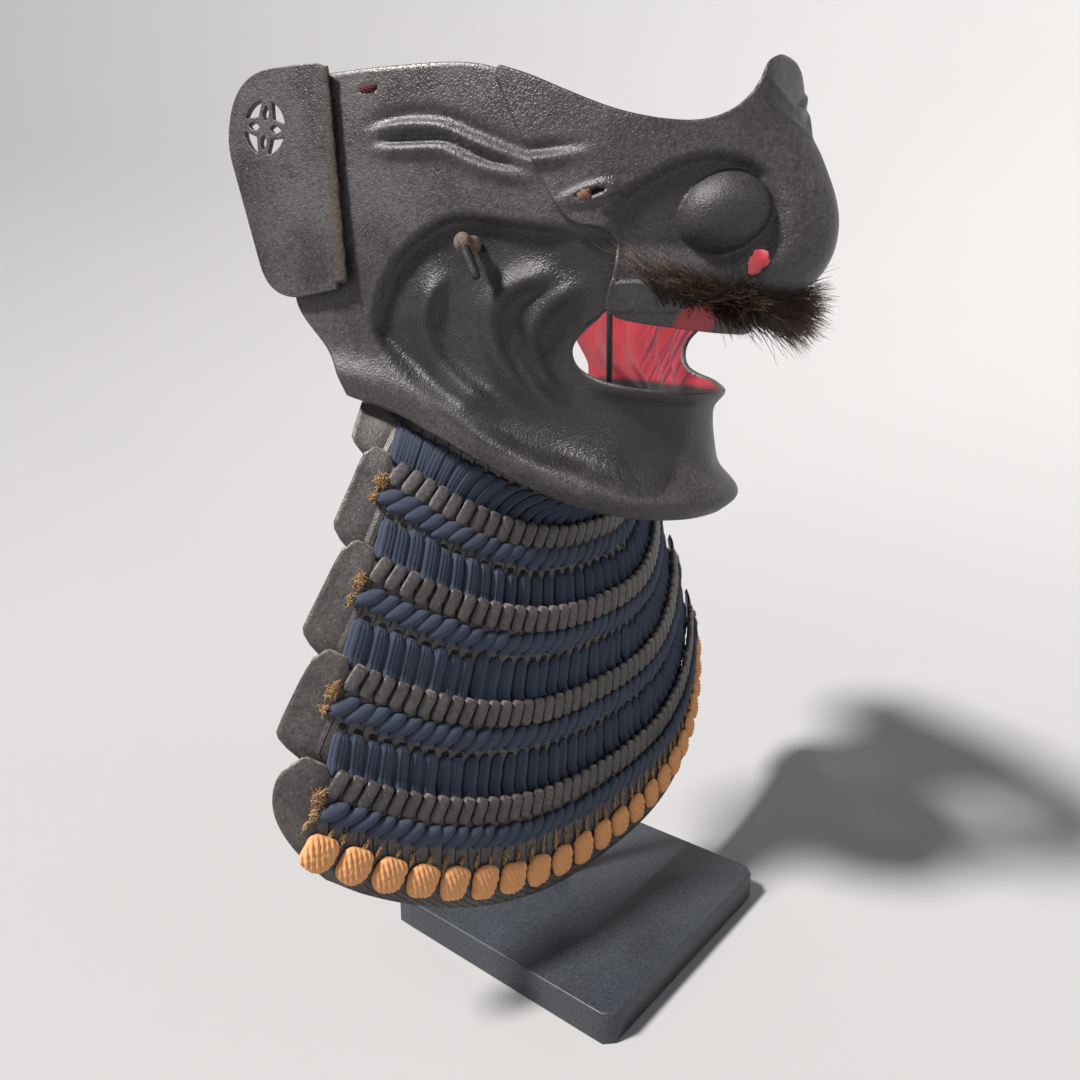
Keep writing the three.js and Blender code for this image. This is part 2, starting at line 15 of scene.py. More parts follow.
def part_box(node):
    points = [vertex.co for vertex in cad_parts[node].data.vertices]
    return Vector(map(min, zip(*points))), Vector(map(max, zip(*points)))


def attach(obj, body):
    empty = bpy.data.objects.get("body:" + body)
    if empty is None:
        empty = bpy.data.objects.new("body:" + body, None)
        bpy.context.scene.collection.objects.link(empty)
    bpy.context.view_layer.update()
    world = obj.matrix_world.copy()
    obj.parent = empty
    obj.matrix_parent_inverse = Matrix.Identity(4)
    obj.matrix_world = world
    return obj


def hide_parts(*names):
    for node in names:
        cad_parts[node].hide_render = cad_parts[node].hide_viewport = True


bl_info = {
    "name": "Samurai face guard",
    "version": (1, 0, 0),
    "blender": (4, 5, 0),
    "location": "View3D > Sidebar > Face guard",
    "description": "Builds the lacquered face guard, its laced throat guard and its stand",
    "category": "Add Mesh",
}

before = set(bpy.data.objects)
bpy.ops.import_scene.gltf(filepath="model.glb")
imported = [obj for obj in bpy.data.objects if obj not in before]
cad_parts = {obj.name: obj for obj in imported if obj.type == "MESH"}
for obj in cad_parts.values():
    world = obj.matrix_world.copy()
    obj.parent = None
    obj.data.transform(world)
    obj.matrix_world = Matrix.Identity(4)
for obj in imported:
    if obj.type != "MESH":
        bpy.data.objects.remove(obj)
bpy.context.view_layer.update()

MM = 0.001
BODY = "root"

# ---- the face, as in the part's own source --------------------------------------------------
FACE_HALF_WIDTH = 75.0
FACE_REAR_Y = 80.0
FRONT_LINE = [
    (158, -45), (168, -48.8), (180, -47.5), (192, -45.8),
    (204, -47), (216, -52.4), (230, -61), (250, -67.5), (270, -69.5), (292, -66.5),
]

CHEEK_RIM = [
    (-44, 243), (-24, 246), (-8, 248.5), (6, 250.5), (17, 247), (27, 239), (33, 229),
    (35.5, 219), (31, 209), (20, 198.5), (8, 188.5), (-6, 181), (-20, 177), (-44, 174),
]
CHEEK_FOLDS = [
    [(9, 236), (14, 231.5), (18, 224), (18.3, 218), (15.5, 210), (9.5, 203.5), (3, 198.5), (-5, 193)],
    [(-25, 233.5), (-16, 232.8), (-8.2, 230.5), (-2.8, 225.5), (-1, 220), (-1.7, 213), (-4.8, 206),
     (-9.8, 198.6), (-15.5, 192.5)],
    [(-29, 231.5), (-23, 229), (-18, 226), (-13, 220.3), (-11.3, 214.5), (-12.8, 207.5), (-16, 201.8),
     (-20.5, 195.5)],
]
WRINKLES = [
    [(34, 272), (28, 274), (20, 274.7), (10, 273.4), (1, 269.3), (-5.5, 266.4), (-11.5, 263.8),
     (-17, 262.8), (-33, 264)],
    [(33, 269.5), (27, 268.8), (20, 268.4), (10, 267.8), (2.5, 264.1), (-2.5, 262), (-7, 260.8),
     (-13, 259.4), (-20, 259.3)],
]
RECESS_DEPTH = 3.6
FOLD_HEIGHT = 3.0
WRINKLE_HEIGHT = 1.8

JAW_EDGE = [
    (-63.5, 199), (-62, 197.8), (-60, 196), (-58.5, 194.5), (-57, 192.8), (-55.5, 190.8), (-54, 188.8),
    (-52, 186.3), (-48.5, 181.5), (-44.5, 176.5), (-40, 171.8), (-33, 167), (-23, 163.6), (-11, 162.6),
    (0, 162.8),
]
UPPER_EDGE = [
    (-67, 290.5), (-60, 290.4), (-51.5, 289), (-46.5, 284), (-39.5, 271), (-33.5, 250), (-30.8, 229),
    (-33.4, 223.4), (-36, 215.6), (-34.6, 209), (-30.8, 204.8), (-25, 202.2), (-17, 200.6), (-8, 200),
    (0, 200),
]
FLANGE_HEIGHT = 6.5
FLANGE_RISE = 6.0
LIP_ROLL = 3.2
THROAT_DEPTH = (4.0, 14.0)
THROAT_SHARE = 0.12
REAR_BULGE = 5.0
REAR_BULGE_Z = 229.0

NOSE_LOWER = [
    (-48.2, 284.5), (-46.6, 273), (-44.6, 263), (-42.2, 253), (-39.6, 247.4), (-36, 245.9), (-33.8, 243),
    (-33.1, 236.5), (-32.9, 227), (-31.4, 223), (-27, 221), (-20, 219.6), (-12, 218.4), (-5, 217.8),
    (0, 217.6),
]
NOSE_UPPER = [
    (-48, 286.5), (-45, 283.6), (-41.5, 279.6), (-38, 276), (-35, 273.6), (-32, 272), (-29, 271),
    (-25.5, 270.6), (-22, 271.4), (-18, 274), (-14.5, 278), (-11.5, 282.5), (-9, 286.4), (-5, 288.5),
    (0, 289),
]
NOSE_OFFSET = 3.0
NOSE_RIDGE = [
    (217, 0), (223, 2), (228, 7), (232, 12.5), (238, 14.4), (245, 13.6), (252, 11), (261, 6), (266, 3.1),
    (270, 0.4), (276, -2.3), (282, -3.4), (291, -2.8),
]
NOSE_RIDGE_WIDTH = 10.5
NOSTRIL = {"x": 17.8, "z": 249.0, "half_x": 8.1, "half_z": 10.6, "rise": 7.6}
NOSTRIL_RIM = [(14, 259), (10.8, 255.7), (8.3, 250), (7.6, 245), (8, 240.5)]
NOSTRIL_HOLLOW = [
    (37, 249), (35.5, 253.5), (32.5, 257.8), (29, 261.5), (25, 263.7), (21, 264.3), (16, 263), (12, 260.5),
    (8.5, 256), (6.5, 249), (6.5, 240), (10, 232), (20, 231), (33, 234),
]
HOLLOW_DEPTH = 2.8
NOSTRIL_MOUTH = {"x": 10.3, "z": 236.4, "half_x": 1.9, "half_z": 4.4}
NOSE_TIE = {"x": 38.0, "z": 254.0, "half_x": 2.3, "half_z": 1.3, "tilt": 0.7}
RIM_TIE = {"x": 61.6, "z": 285.6, "half_x": 1.1, "half_z": 1.55}
BRIDGE_RIDGES = [
    [(15.5, 279.8), (9.5, 275.5), (3, 271.3), (0, 270)],
    [(13, 283), (8.5, 280), (3.5, 277), (0, 276)],
]
LIP_PANEL = {"inner": 20.5, "outer": 34.5, "low": 223.0, "high": 232.0, "rise": 1.2}
LIP_PAINT_TOP, LIP_PAINT_END = 226.0, 10.5

# ---- the ear plate ----------------------------------------------------------------------------
EAR_FRONT = (-66.2, 43.5, 230.6)
EAR_FLARE = math.radians(15.5)
EAR_TOP = 61.0
CREST = {"along": 22.8, "up": 47.0, "radius": 7.8, "wire": 0.6, "boss": 1.3, "tilt": 0.2}

PEG = {"x": 50.8, "z": 241.8, "reach": 6.0, "drop": 10.0, "radius": 1.5}

# ---- the throat guard ---------------------------------------------------------------------------
HEM_LEVEL = 5.15
BIB_WIDTH = [(0, 55), (1, 67), (2, 82), (3, 97.5), (4, 110), (HEM_LEVEL, 115)]
BIB_FRONT = [(0, -24), (1, -3), (2, -7), (3, -8.5), (4, -12), (HEM_LEVEL, -14.5)]
BIB_REAR = [(0, 46), (1, 33), (2, 26), (3, 22), (4, 19), (HEM_LEVEL, 16)]
BIB_FRONT_Z = [(0, 165), (1, 153), (2, 128), (3, 98), (4, 68), (HEM_LEVEL, 31)]
BIB_REAR_Z = [(0, 204), (1, 186), (2, 160), (3, 131), (4, 103), (HEM_LEVEL, 70)]
BIB_BOW = 2.6
BIB_SAG = 2.55
LAME_COUNT = 5
LAME_SHINGLE = 4.6
LAME_REACH = 1.12
LAME_FLARE = 0.04
FOOT_ROUND = 0.1
HEM_ROUND = 0.1
LACED_SHARE = 0.925
PAD_COUNT = 22
PAD_LEVEL = 4.88
HEAD_LEVEL = 0.13
BRAID_LEVEL = 0.405
HOLE_LEVEL, TOP_HOLE_LEVEL = 0.585, 0.37
LACE_START, TOP_LACE_START, LACE_END = 0.60, 0.38, 1.17


# ==== numbers as whole arrays ====================================================================
def smooth(t):
    """Smooth step: 0 below 0, 1 above 1, and 3t^2 - 2t^3 between."""
    t = np.clip(t, 0.0, 1.0)
    return t * t * (3 - 2 * t)


def bell(distance, width):
    """Bell curve: e to the minus of the squared share of the width."""
    return np.exp(-((distance / width) ** 2))


def curve(knots):
    """A smooth function through knots (place, value): a cubic Hermite between neighbours, whose slope at
    each knot is the slope between the knots on either side of it."""
    place, value = np.array(knots, float).T
    slope = np.empty_like(value)
    slope[1:-1] = (value[2:] - value[:-2]) / (place[2:] - place[:-2])
    slope[0] = (value[1] - value[0]) / (place[1] - place[0])
    slope[-1] = (value[-1] - value[-2]) / (place[-1] - place[-2])

    def at(x):
        x = np.asarray(x, float)
        i = np.clip(np.searchsorted(place, x, side="left") - 1, 0, len(place) - 2)
        step = place[i + 1] - place[i]
        t = np.clip((x - place[i]) / step, 0, 1)
        h = t * t * (3 - 2 * t)
        bend = t * (1 - t) ** 2 * slope[i] - t * t * (1 - t) * slope[i + 1]
        return value[i] * (1 - h) + value[i + 1] * h + step * bend

    return at


def along_list(points, axis):
    """One coordinate of a list of points as a smooth function of the share along the list."""
    last = len(points) - 1
    return curve([(i / last, p[axis]) for i, p in enumerate(points)])


def fine_line(points, count=36):
    """A list of points drawn as a smooth line with more points on it."""
    t = np.linspace(0, 1, count)
    return np.stack([along_list(points, 0)(t), along_list(points, 1)(t)], -1)


def beside_line(y, z, line):
    """For points (y, z): the distance to the nearest point of a line, +1 or -1 for its left or right side,
    and how far along the line that nearest point is, from 0 to 1."""
    steps = np.diff(line, axis=0)
    lengths = np.hypot(*steps.T)
    before = np.cumsum(lengths) - lengths
    best = np.full(np.shape(y), np.inf)
    side = np.ones_like(best)
    share = np.zeros_like(best)
    for start, step, length, so_far in zip(line, steps, lengths, before):
        ry, rz = y - start[0], z - start[1]
        t = np.clip((ry * step[0] + rz * step[1]) / length**2, 0, 1)
        distance = np.hypot(ry - t * step[0], rz - t * step[1])
        nearer = distance < best
        best = np.where(nearer, distance, best)
        side = np.where(nearer, np.sign(step[0] * rz - step[1] * ry), side)
        share = np.where(nearer, (so_far + t * length) / lengths.sum(), share)
    return best, side, share


def inside_outline(y, z, line):
    """Even-odd test: true where a ray from the point crosses the closed outline an odd number of times."""
    inside = np.zeros(np.shape(y), bool)
    for (ay, az), (by, bz) in zip(line, np.roll(line, -1, axis=0)):
        crosses = (az > z) != (bz > z)
        run = (z - az) * (by - ay) / np.where(bz == az, 1e-9, bz - az)
        inside ^= crosses & (y < ay + run)
    return inside


def unit(vectors):
    """Vectors divided by their own length."""
    return vectors / np.maximum(np.linalg.norm(vectors, axis=-1, keepdims=True), 1e-12)


def grid_normals(grid):
    """Outward normals of a grid whose columns run to the wearer's left and whose rows run up: the
    cross product of the step along a row and the step up a column."""
    return unit(np.cross(np.gradient(grid, axis=1), np.gradient(grid, axis=0)))


def blurred(values, times):
    """The mean of each grid point and its eight neighbours, taken several times over."""
    for _ in range(times):
        wide = np.pad(values, ((1, 1), (1, 1), (0, 0)), mode="edge")
        rows = (wide[:-2] + wide[1:-1] + wide[2:]) / 3
        values = (rows[:, :-2] + rows[:, 1:-1] + rows[:, 2:]) / 3
    return values


# ==== meshes =====================================================================================
def mesh_object(name, points, faces, slot, materials, part=None, uv=None, attributes=None, replaces=()):
    """A smooth-shaded mesh from points in millimetres and arrays of faces with 3 or 4 corners. part gives
    each face its material, uv a pair of numbers for each face corner, attributes a number for each point."""
    corners = np.concatenate([f.ravel() for f in faces]).astype(np.int32)
    sizes = np.concatenate([np.full(len(f), f.shape[1], np.int32) for f in faces])
    mesh = bpy.data.meshes.new(name)
    mesh.vertices.add(len(points))
    mesh.vertices.foreach_set("co", (np.asarray(points, np.float64) * MM).astype(np.float32).ravel())
    mesh.loops.add(len(corners))
    mesh.loops.foreach_set("vertex_index", corners)
    mesh.polygons.add(len(sizes))
    mesh.polygons.foreach_set("loop_start", (np.cumsum(sizes) - sizes).astype(np.int32))
    for material in materials:
        mesh.materials.append(material)
    if part is not None:
        mesh.polygons.foreach_set("material_index", np.asarray(part, np.int32))
    mesh.update(calc_edges=True)
    mesh.polygons.foreach_set("use_smooth", np.ones(len(sizes), bool))
    if uv is not None:
        layer = mesh.uv_layers.new(name="UVMap")
        layer.data.foreach_set("uv", np.asarray(uv, np.float32).ravel())
    for key, values in (attributes or {}).items():
        layer = mesh.attributes.new(key, "FLOAT", "POINT")
        layer.data.foreach_set("value", np.asarray(values, np.float32).ravel())
    mesh.validate()
    piece = bpy.data.objects.new(name, mesh)
    bpy.context.scene.collection.objects.link(piece)
    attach(piece, BODY)
    if replaces:
        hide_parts(*replaces)
    return piece


def grid_cells(rows, columns):
    """Corner numbers of each cell of a grid, going round it anticlockwise from its low first corner."""
    i, j = np.mgrid[0 : rows - 1, 0 : columns - 1]
    a = i * columns + j
    return np.stack([a, a + 1, a + columns + 1, a + columns], -1).reshape(-1, 4)


def thick_sheet(front, back, keep, roundness, rounds=3):
    """Closes a front and a back grid into one wall. keep says which cells stay, so holes are real. Every
    open edge gets a rim of half-round section: the point at angle a between the skins moves outwards by
    the roundness times the sine of a. Returns points, faces and the part of each face: 0 front, 1 back,
    2 rim."""
    rows, columns = front.shape[:2]
    count = rows * columns
    cells = grid_cells(rows, columns)[keep.ravel()]
    edges = np.concatenate([cells[:, [k, (k + 1) % 4]] for k in range(4)])
    keys = edges[:, 0] * count + edges[:, 1]
    edges = edges[~np.isin(keys, edges[:, 1] * count + edges[:, 0])]
    front_points, back_points = front.reshape(-1, 3), back.reshape(-1, 3)
    normals = grid_normals(front).reshape(-1, 3)
    outward = np.zeros((count, 3))
    across = np.cross(front_points[edges[:, 1]] - front_points[edges[:, 0]], normals[edges[:, 0]])
    np.add.at(outward, edges[:, 0], across)
    np.add.at(outward, edges[:, 1], across)
    outward = unit(outward)
    rim = np.unique(edges)
    place = np.zeros(count, int)
    place[rim] = np.arange(len(rim))
    layers = [edges]
    points = [front_points, back_points]
    for k in range(1, rounds + 1):
        share = 0.5 - 0.5 * math.cos(math.pi * k / (rounds + 1))
        push = roundness * math.sin(math.pi * k / (rounds + 1))
        points.append(front_points[rim] * (1 - share) + back_points[rim] * share + outward[rim] * push)
        layers.append(2 * count + (k - 1) * len(rim) + place[edges])
    layers.append(count + edges)
    strips = [
        np.stack([above[:, 0], below[:, 0], below[:, 1], above[:, 1]], -1)
        for above, below in zip(layers, layers[1:])
    ]
    faces = np.concatenate([cells, count + cells[:, ::-1], *strips])
    part = np.concatenate([np.zeros(len(cells)), np.ones(len(cells)), np.full(len(edges) * len(strips), 2)])
    return np.concatenate(points), faces, part


def without_loose(points, faces, *values):
    """Drops the points that no face uses, and renumbers the faces."""
    used = np.unique(np.concatenate([f.ravel() for f in faces]))
    place = np.zeros(len(points), int)
    place[used] = np.arange(len(used))
    return (points[used], [place[f] for f in faces], *[np.asarray(v)[used] for v in values])


def tubes(paths, radii, sides, phase=0.0):
    """Closed tubes along many paths at once. paths is (tubes, steps, 3) and radii (tubes, steps). Each ring
    stands across its path; a cap closes both ends. Returns points, faces and face-corner UVs (turn, way)."""
    count, steps = paths.shape[:2]
    tangent = unit(np.gradient(paths, axis=1))
    helper = np.where(np.abs(tangent[..., 2:]) > 0.9, [[[1.0, 0, 0]]], [[[0, 0, 1.0]]])
    across = unit(np.cross(tangent, helper))
    other = np.cross(tangent, across)
    angle = 2 * math.pi * np.arange(sides) / sides + phase
    ring = across[:, :, None] * np.cos(angle)[:, None] + other[:, :, None] * np.sin(angle)[:, None]
    points = paths[:, :, None] + ring * radii[:, :, None, None]
    n, i, k = np.meshgrid(np.arange(count), np.arange(steps - 1), np.arange(sides), indexing="ij")
    base = (n * steps + i) * sides
    turn = (k + 1) % sides
    quads = np.stack([base + k, base + turn, base + turn + sides, base + k + sides], -1).reshape(-1, 4)
    low, high = k / sides, (k + 1) / sides
    start, end = i / (steps - 1), (i + 1) / (steps - 1)
    uv = np.stack([low, start, high, start, high, end, low, end], -1).reshape(-1, 2)
    ends = np.arange(count)[:, None, None] * steps * sides
    fan = np.arange(1, sides - 1)
    first = np.stack([np.zeros_like(fan), fan + 1, fan], -1)
    last = (steps - 1) * sides + np.stack([np.zeros_like(fan), fan, fan + 1], -1)
    caps = np.concatenate([ends + first, ends + last], 1).reshape(-1, 3)
    uv = np.concatenate([uv, np.full((caps.size, 2), 0.5)])
    return points.reshape(-1, 3), [quads, caps], uv


def pillow(sides, plan, heights):
    """A closed pillow to be copied: rings of the plan outline (an array of x, y), each with a scale and a
    height, from the underside up, then a point at the middle of the top and of the bottom.
    Returns points (x, y, height) and faces."""
    rings = [np.column_stack([plan * scale, np.full(sides, height)]) for scale, height in heights]
    points = np.concatenate([*rings, [[0, 0, heights[-1][1]]], [[0, 0, heights[0][1]]]])
    k = np.arange(sides)
    turn = (k + 1) % sides
    quads = [
        np.stack([r * sides + k, r * sides + turn, (r + 1) * sides + turn, (r + 1) * sides + k], -1)
        for r in range(len(heights) - 1)
    ]
    top = len(heights) * sides
    high = (len(heights) - 1) * sides
    cap = np.stack([high + k, high + turn, np.full(sides, top)], -1)
    foot = np.stack([turn, k, np.full(sides, top + 1)], -1)
    faces = [np.concatenate(quads), np.concatenate([cap, foot])]
    return points, faces


def superellipse(sides, half_x, half_y, power):
    """Points round an outline where |x / half_x|^power + |y / half_y|^power is one."""
    angle = 2 * math.pi * (np.arange(sides) + 0.5) / sides
    c, s = np.cos(angle), np.sin(angle)
    reach = (np.abs(c) ** power + np.abs(s) ** power) ** (-1 / power)
    return np.column_stack([half_x * reach * c, half_y * reach * s])


def placed(shape, faces, centres, along, up, out):
    """Copies of one shape at many places: x goes along, y goes up and the height goes out."""
    shape = np.broadcast_to(shape, (len(centres), *shape.shape[-2:]))
    points = (
        centres[:, None]
        + shape[..., 0:1] * along[:, None]
        + shape[..., 1:2] * up[:, None]
        + shape[..., 2:3] * out[:, None]
    )
    shift = (np.arange(len(centres)) * shape.shape[1])[:, None, None]
    return points.reshape(-1, 3), [(f[None] + shift).reshape(-1, f.shape[1]) for f in faces]


def corner_uv(faces, values):
    """Face-corner UVs taken from a pair of numbers at each point."""
    return np.concatenate([values[f.ravel()] for f in faces])


# ==== the face as a surface ======================================================================
front_line = curve(FRONT_LINE)


def face_y(x, z):
    """A level of the face is a parabola: its tip is on the front line, and it reaches the rear at the
    half width."""
    tip = front_line(z)
    return tip + (FACE_REAR_Y - tip) * (x / FACE_HALF_WIDTH) ** 2


def face_out(x, z):
    """The outward direction of a level of the face, seen from above: the parabola's normal."""
    slope = 2 * x * (FACE_REAR_Y - front_line(z)) / FACE_HALF_WIDTH**2
    length = np.hypot(slope, 1)
    return slope / length, -1 / length


def on_face(x, z, outward):
    """Points of the face moved outwards along its level."""
    ox, oy = face_out(x, z)
    return np.stack([x + ox * outward, face_y(x, z) + oy * outward, z + 0 * x], -1)


def cheek_relief(x, z):
    """Height of the cheek over the plain face: minus the cheek's recess, whose floor falls from its rim over
    a short way above and a long way below, plus folds that are steep behind and gentle in front, plus the two
    wrinkles under the eye, each a groove with a roll below it."""
    y = face_y(x, z)
    rim = fine_line(CHEEK_RIM + CHEEK_RIM[:1], 72)
    distance, _, _ = beside_line(y, z, rim)
    inside = inside_outline(y, z, rim)
    step = 1.6 + 4.5 * smooth((222 - z) / 14)
    height = -RECESS_DEPTH * inside * smooth((y + 34) / 20) * smooth(distance / step)
    for k, points in enumerate(CHEEK_FOLDS):
        away, side, share = beside_line(y, z, fine_line(points))
        ends = smooth(share * 5) * smooth((1 - share) * 4)
        width = np.where(side < 0, 2.1, 5.2 - 0.8 * k)
        height = height + FOLD_HEIGHT * ends * bell(away, width)
    for points in WRINKLES:
        away, side, share = beside_line(y, z, fine_line(points))
        ends = smooth(share * 6) * smooth((1 - share) * 4)
        height = height + ends * WRINKLE_HEIGHT * bell(away, 1.7)
        height = height - ends * 1.3 * bell(away * np.where(side > 0, 1, -1) + 2.9, 1.4)
    return height


def snapped(x, z, hole, side=-1, power=2.6):
    """Opens a hole in a grid. r is the superellipse radius about the hole's middle, turned by its tilt. A
    cell goes when all its corners have r under 1; a corner left inside is pushed out to r = 1."""
    turn = hole.get("tilt", 0.0)
    dx, dz = x - side * hole["x"], z - hole["z"]
    ax = (dx * math.cos(turn) + dz * math.sin(turn)) / hole["half_x"]
    az = (dz * math.cos(turn) - dx * math.sin(turn)) / hole["half_z"]
    r = (np.abs(ax) ** power + np.abs(az) ** power) ** (1 / power)
    gone = (r[:-1, :-1] < 1) & (r[1:, :-1] < 1) & (r[:-1, 1:] < 1) & (r[1:, 1:] < 1)
    scale = np.where(r < 1, 1 / np.maximum(r, 1e-3), 1.0)
    new_x = side * hole["x"] + (x - side * hole["x"]) * scale
    new_z = hole["z"] + (z - hole["z"]) * scale
    return new_x, new_z, gone, r


def even_shares(path, count):
    """Shares along a path such that as many points stand on each millimetre of it."""
    t = np.linspace(0, 1, 400)
    length = np.concatenate([[0], np.cumsum(np.linalg.norm(np.diff(path(t), axis=0), axis=1))])
    return np.interp(np.linspace(0, length[-1], count), length, t)


def mirrored_columns(half):
    """Shares from the rear to the middle as a whole row of columns: t, and which side each is on."""
    t = np.concatenate([half, half[-2::-1]])
    side = np.concatenate([np.full(len(half), 1.0), np.full(len(half) - 1, -1.0)])
    return t, side


def shell_grid(columns, rows):
    """The mask shell: cross lines from the jaw edge to the upper edge, whose first share turns in under
    the jaw. Out of the plain face come the flange along the jaw (a bell round its crest), the cheek's
    relief and the rolled lower lip. Returns the grid, the cells that stay and the painted values."""
    jaw_x, jaw_z = along_list(JAW_EDGE, 0), along_list(JAW_EDGE, 1)
    upper_x, upper_z = along_list(UPPER_EDGE, 0), along_list(UPPER_EDGE, 1)

    def middle(t):
        x, z = (jaw_x(t) + upper_x(t)) / 2, (jaw_z(t) + upper_z(t)) / 2
        return on_face(x, z, 0 * t)

    t, side = mirrored_columns(even_shares(middle, columns // 2 + 1))
    v = np.linspace(0, 1, rows)[:, None]
    t = t[None] + 0 * v
    w = np.clip((v - THROAT_SHARE) / (1 - THROAT_SHARE), 0, None)
    turn = np.clip(1 - v / THROAT_SHARE, 0, None)
    z = jaw_z(t) * (1 - w) + upper_z(t) * w
    rearward = REAR_BULGE * bell(z - REAR_BULGE_Z, 16) * (1 - smooth(t * 6))
    x = jaw_x(t) * (1 - w) + upper_x(t) * w - rearward
    x, z, gone, rim_r = snapped(x, z, RIM_TIE)
    flange = FLANGE_HEIGHT * (0.45 + 0.55 * smooth(t * 1.6 - 0.6))
    crest = bell(z - jaw_z(t) - FLANGE_RISE, 6)
    out = flange * crest + cheek_relief(x, z) * smooth((z - jaw_z(t) - 4) / 6)
    out = out + LIP_ROLL * smooth((t - 0.68) * 9) * bell(upper_z(t) - z, 3.2)
    throat = THROAT_DEPTH[0] + (THROAT_DEPTH[1] - THROAT_DEPTH[0]) * smooth(t * 1.5 - 0.5)
    out = out - turn * throat
    grid = on_face(x, z - turn * 1.2, out)
    grid[..., 0] *= side[None]
    rear_top = 1 - smooth((t - 0.1) / 0.12)
    edge = np.maximum(bell((1 - v) * 80, 1.0) * (0.5 + 0.5 * rear_top),
                      0.55 * bell(z - jaw_z(t) - FLANGE_RISE - 0.5, 0.8))
    edge = np.maximum(edge, 0.5 * bell(np.clip(rim_r - 1, 0, None), 0.2))
    # The painted values: wear on the edges, and painted shade in the cheek's recess.
    return grid, ~gone, {"wear": edge, "sunken": recess_shade_share(x, z)}


def nose_relief(x, z):
    """Height of the nose over the plain face: a ridge whose height follows the level and falls off in a
    bell to both sides, a hollow under the cheek's fold with the domed nostril wing in it, a thin raised rim
    by the wing, two ridges over the bridge, and the panel at the corner of the lip."""
    side_x = np.abs(x)
    ridge = curve(NOSE_RIDGE)(z) * bell(x, NOSE_RIDGE_WIDTH)
    reach = np.hypot((side_x - NOSTRIL["x"]) / NOSTRIL["half_x"], (z - NOSTRIL["z"]) / NOSTRIL["half_z"])
    bulb = NOSTRIL["rise"] * np.clip(1 - np.clip(reach, 0, 1) ** 2.2, 0, None) ** 0.72
    hollow = -HOLLOW_DEPTH * hollow_share(x, z)
    away, _, share = beside_line(side_x, z, fine_line(NOSTRIL_RIM))
    arc = 1.1 * bell(away, 0.8) * smooth(share * 4) * smooth((1 - share) * 4)
    bridge = 0
    for points in BRIDGE_RIDGES:
        away, side, share = beside_line(side_x, z, fine_line(points))
        bridge = bridge + 0.75 * bell(away, np.where(side > 0, 1.6, 0.7)) * smooth(share * 8)
    panel = smooth((side_x - LIP_PANEL["inner"]) / 0.8) * smooth((LIP_PANEL["outer"] - side_x) / 0.8)
    panel = panel * smooth((z - LIP_PANEL["low"]) / 0.8) * smooth((LIP_PANEL["high"] - z) / 0.8)
    return ridge + bulb + hollow + arc + bridge + LIP_PANEL["rise"] * panel


def hollow_share(x, z):
    """How deep a point of the nose lies in the hollow round the nostril wing, from 0 to 1."""
    outline = fine_line(NOSTRIL_HOLLOW + NOSTRIL_HOLLOW[:1], 72)
    side_x = np.abs(x)
    away, _, _ = beside_line(side_x, z, outline)
    return inside_outline(side_x, z, outline) * smooth(away / 3.0) * smooth((z - 233) / 9)


def recess_shade_share(x, z):
    """How far a point lies within the recess of the cheek, from 0 to 1, for the painted shade that darkens
    it.
    """
    y = face_y(x, z)
    rim = fine_line(CHEEK_RIM + CHEEK_RIM[:1], 72)
    away, _, _ = beside_line(y, z, rim)
    return inside_outline(y, z, rim) * smooth(away / 1.6)


def nose_grid(columns, rows):
    """The nose piece: cross lines from its lower to its upper edge over the plain face, a little outside the
    shell, with the nose's relief and, on the wings, the cheek's."""
    lower_x, lower_z = along_list(NOSE_LOWER, 0), along_list(NOSE_LOWER, 1)
    upper_x, upper_z = along_list(NOSE_UPPER, 0), along_list(NOSE_UPPER, 1)

    def middle(t):
        x, z = (lower_x(t) + upper_x(t)) / 2, (lower_z(t) + upper_z(t)) / 2
        return on_face(x, z, 0 * t)

    t, side = mirrored_columns(even_shares(middle, columns // 2 + 1))
    v = np.linspace(0, 1, rows)[:, None]
    t = t[None] + 0 * v
    x = lower_x(t) * (1 - v) + upper_x(t) * v
    z = lower_z(t) * (1 - v) + upper_z(t) * v
    x, z, gone_tie, tie_r = snapped(x, z, NOSE_TIE)
    x, z, gone_nostril, _ = snapped(x, z, NOSTRIL_MOUTH, power=2.2)
    wing = smooth((np.abs(x) - 28) / 8)
    pad = 0.9 * bell(np.clip(tie_r - 1.2, 0, None), 0.6)
    out = NOSE_OFFSET + nose_relief(x, z) + wing * cheek_relief(x, z) + pad
    grid = on_face(x, z, out)
    grid[..., 0] *= side[None]
    upper_wear = bell((1 - v) * 80, 1.0) * (0.4 + 0.4 * smooth((t - 0.8) / 0.1))
    edge = np.maximum(upper_wear, 0.35 * bell(v * 60, 1.0))
    edge = np.maximum(edge + 0 * z, 0.55 * bell(np.clip(tie_r - 1, 0, None), 0.2))
    # Painted shade in the hollow round the nostril wing and, on the wings, in the cheek's recess.
    sunken = np.maximum(0.7 * hollow_share(x, z), wing * recess_shade_share(x, z))
    painted = smooth((LIP_PAINT_TOP - z) / 0.6) * smooth((LIP_PANEL["inner"] - np.abs(x)) / 0.5)
    painted = painted * smooth((np.abs(x) - LIP_PAINT_END) / 2)
    return grid, ~(gone_tie | gone_nostril), {"wear": edge, "sunken": sunken, "painted": painted}


# ==== the guard as a surface =====================================================================
bib_width, bib_front, bib_rear = curve(BIB_WIDTH), curve(BIB_FRONT), curve(BIB_REAR)
bib_front_z, bib_rear_z = curve(BIB_FRONT_Z), curve(BIB_REAR_Z)


def bib_point(s, level):
    """The flared bib: at each level x is the half width times s, and y and z go from their front to their
    rear value by a power of |s|."""
    s, level = np.broadcast_arrays(np.asarray(s, float), np.asarray(level, float))
    bow, sag = np.abs(s) ** BIB_BOW, np.abs(s) ** BIB_SAG
    front, low = bib_front(level), bib_front_z(level)
    y = front + (bib_rear(level) - front) * bow
    z = low + (bib_rear_z(level) - low) * sag
    return np.stack([bib_width(level) * s, y, z], -1)


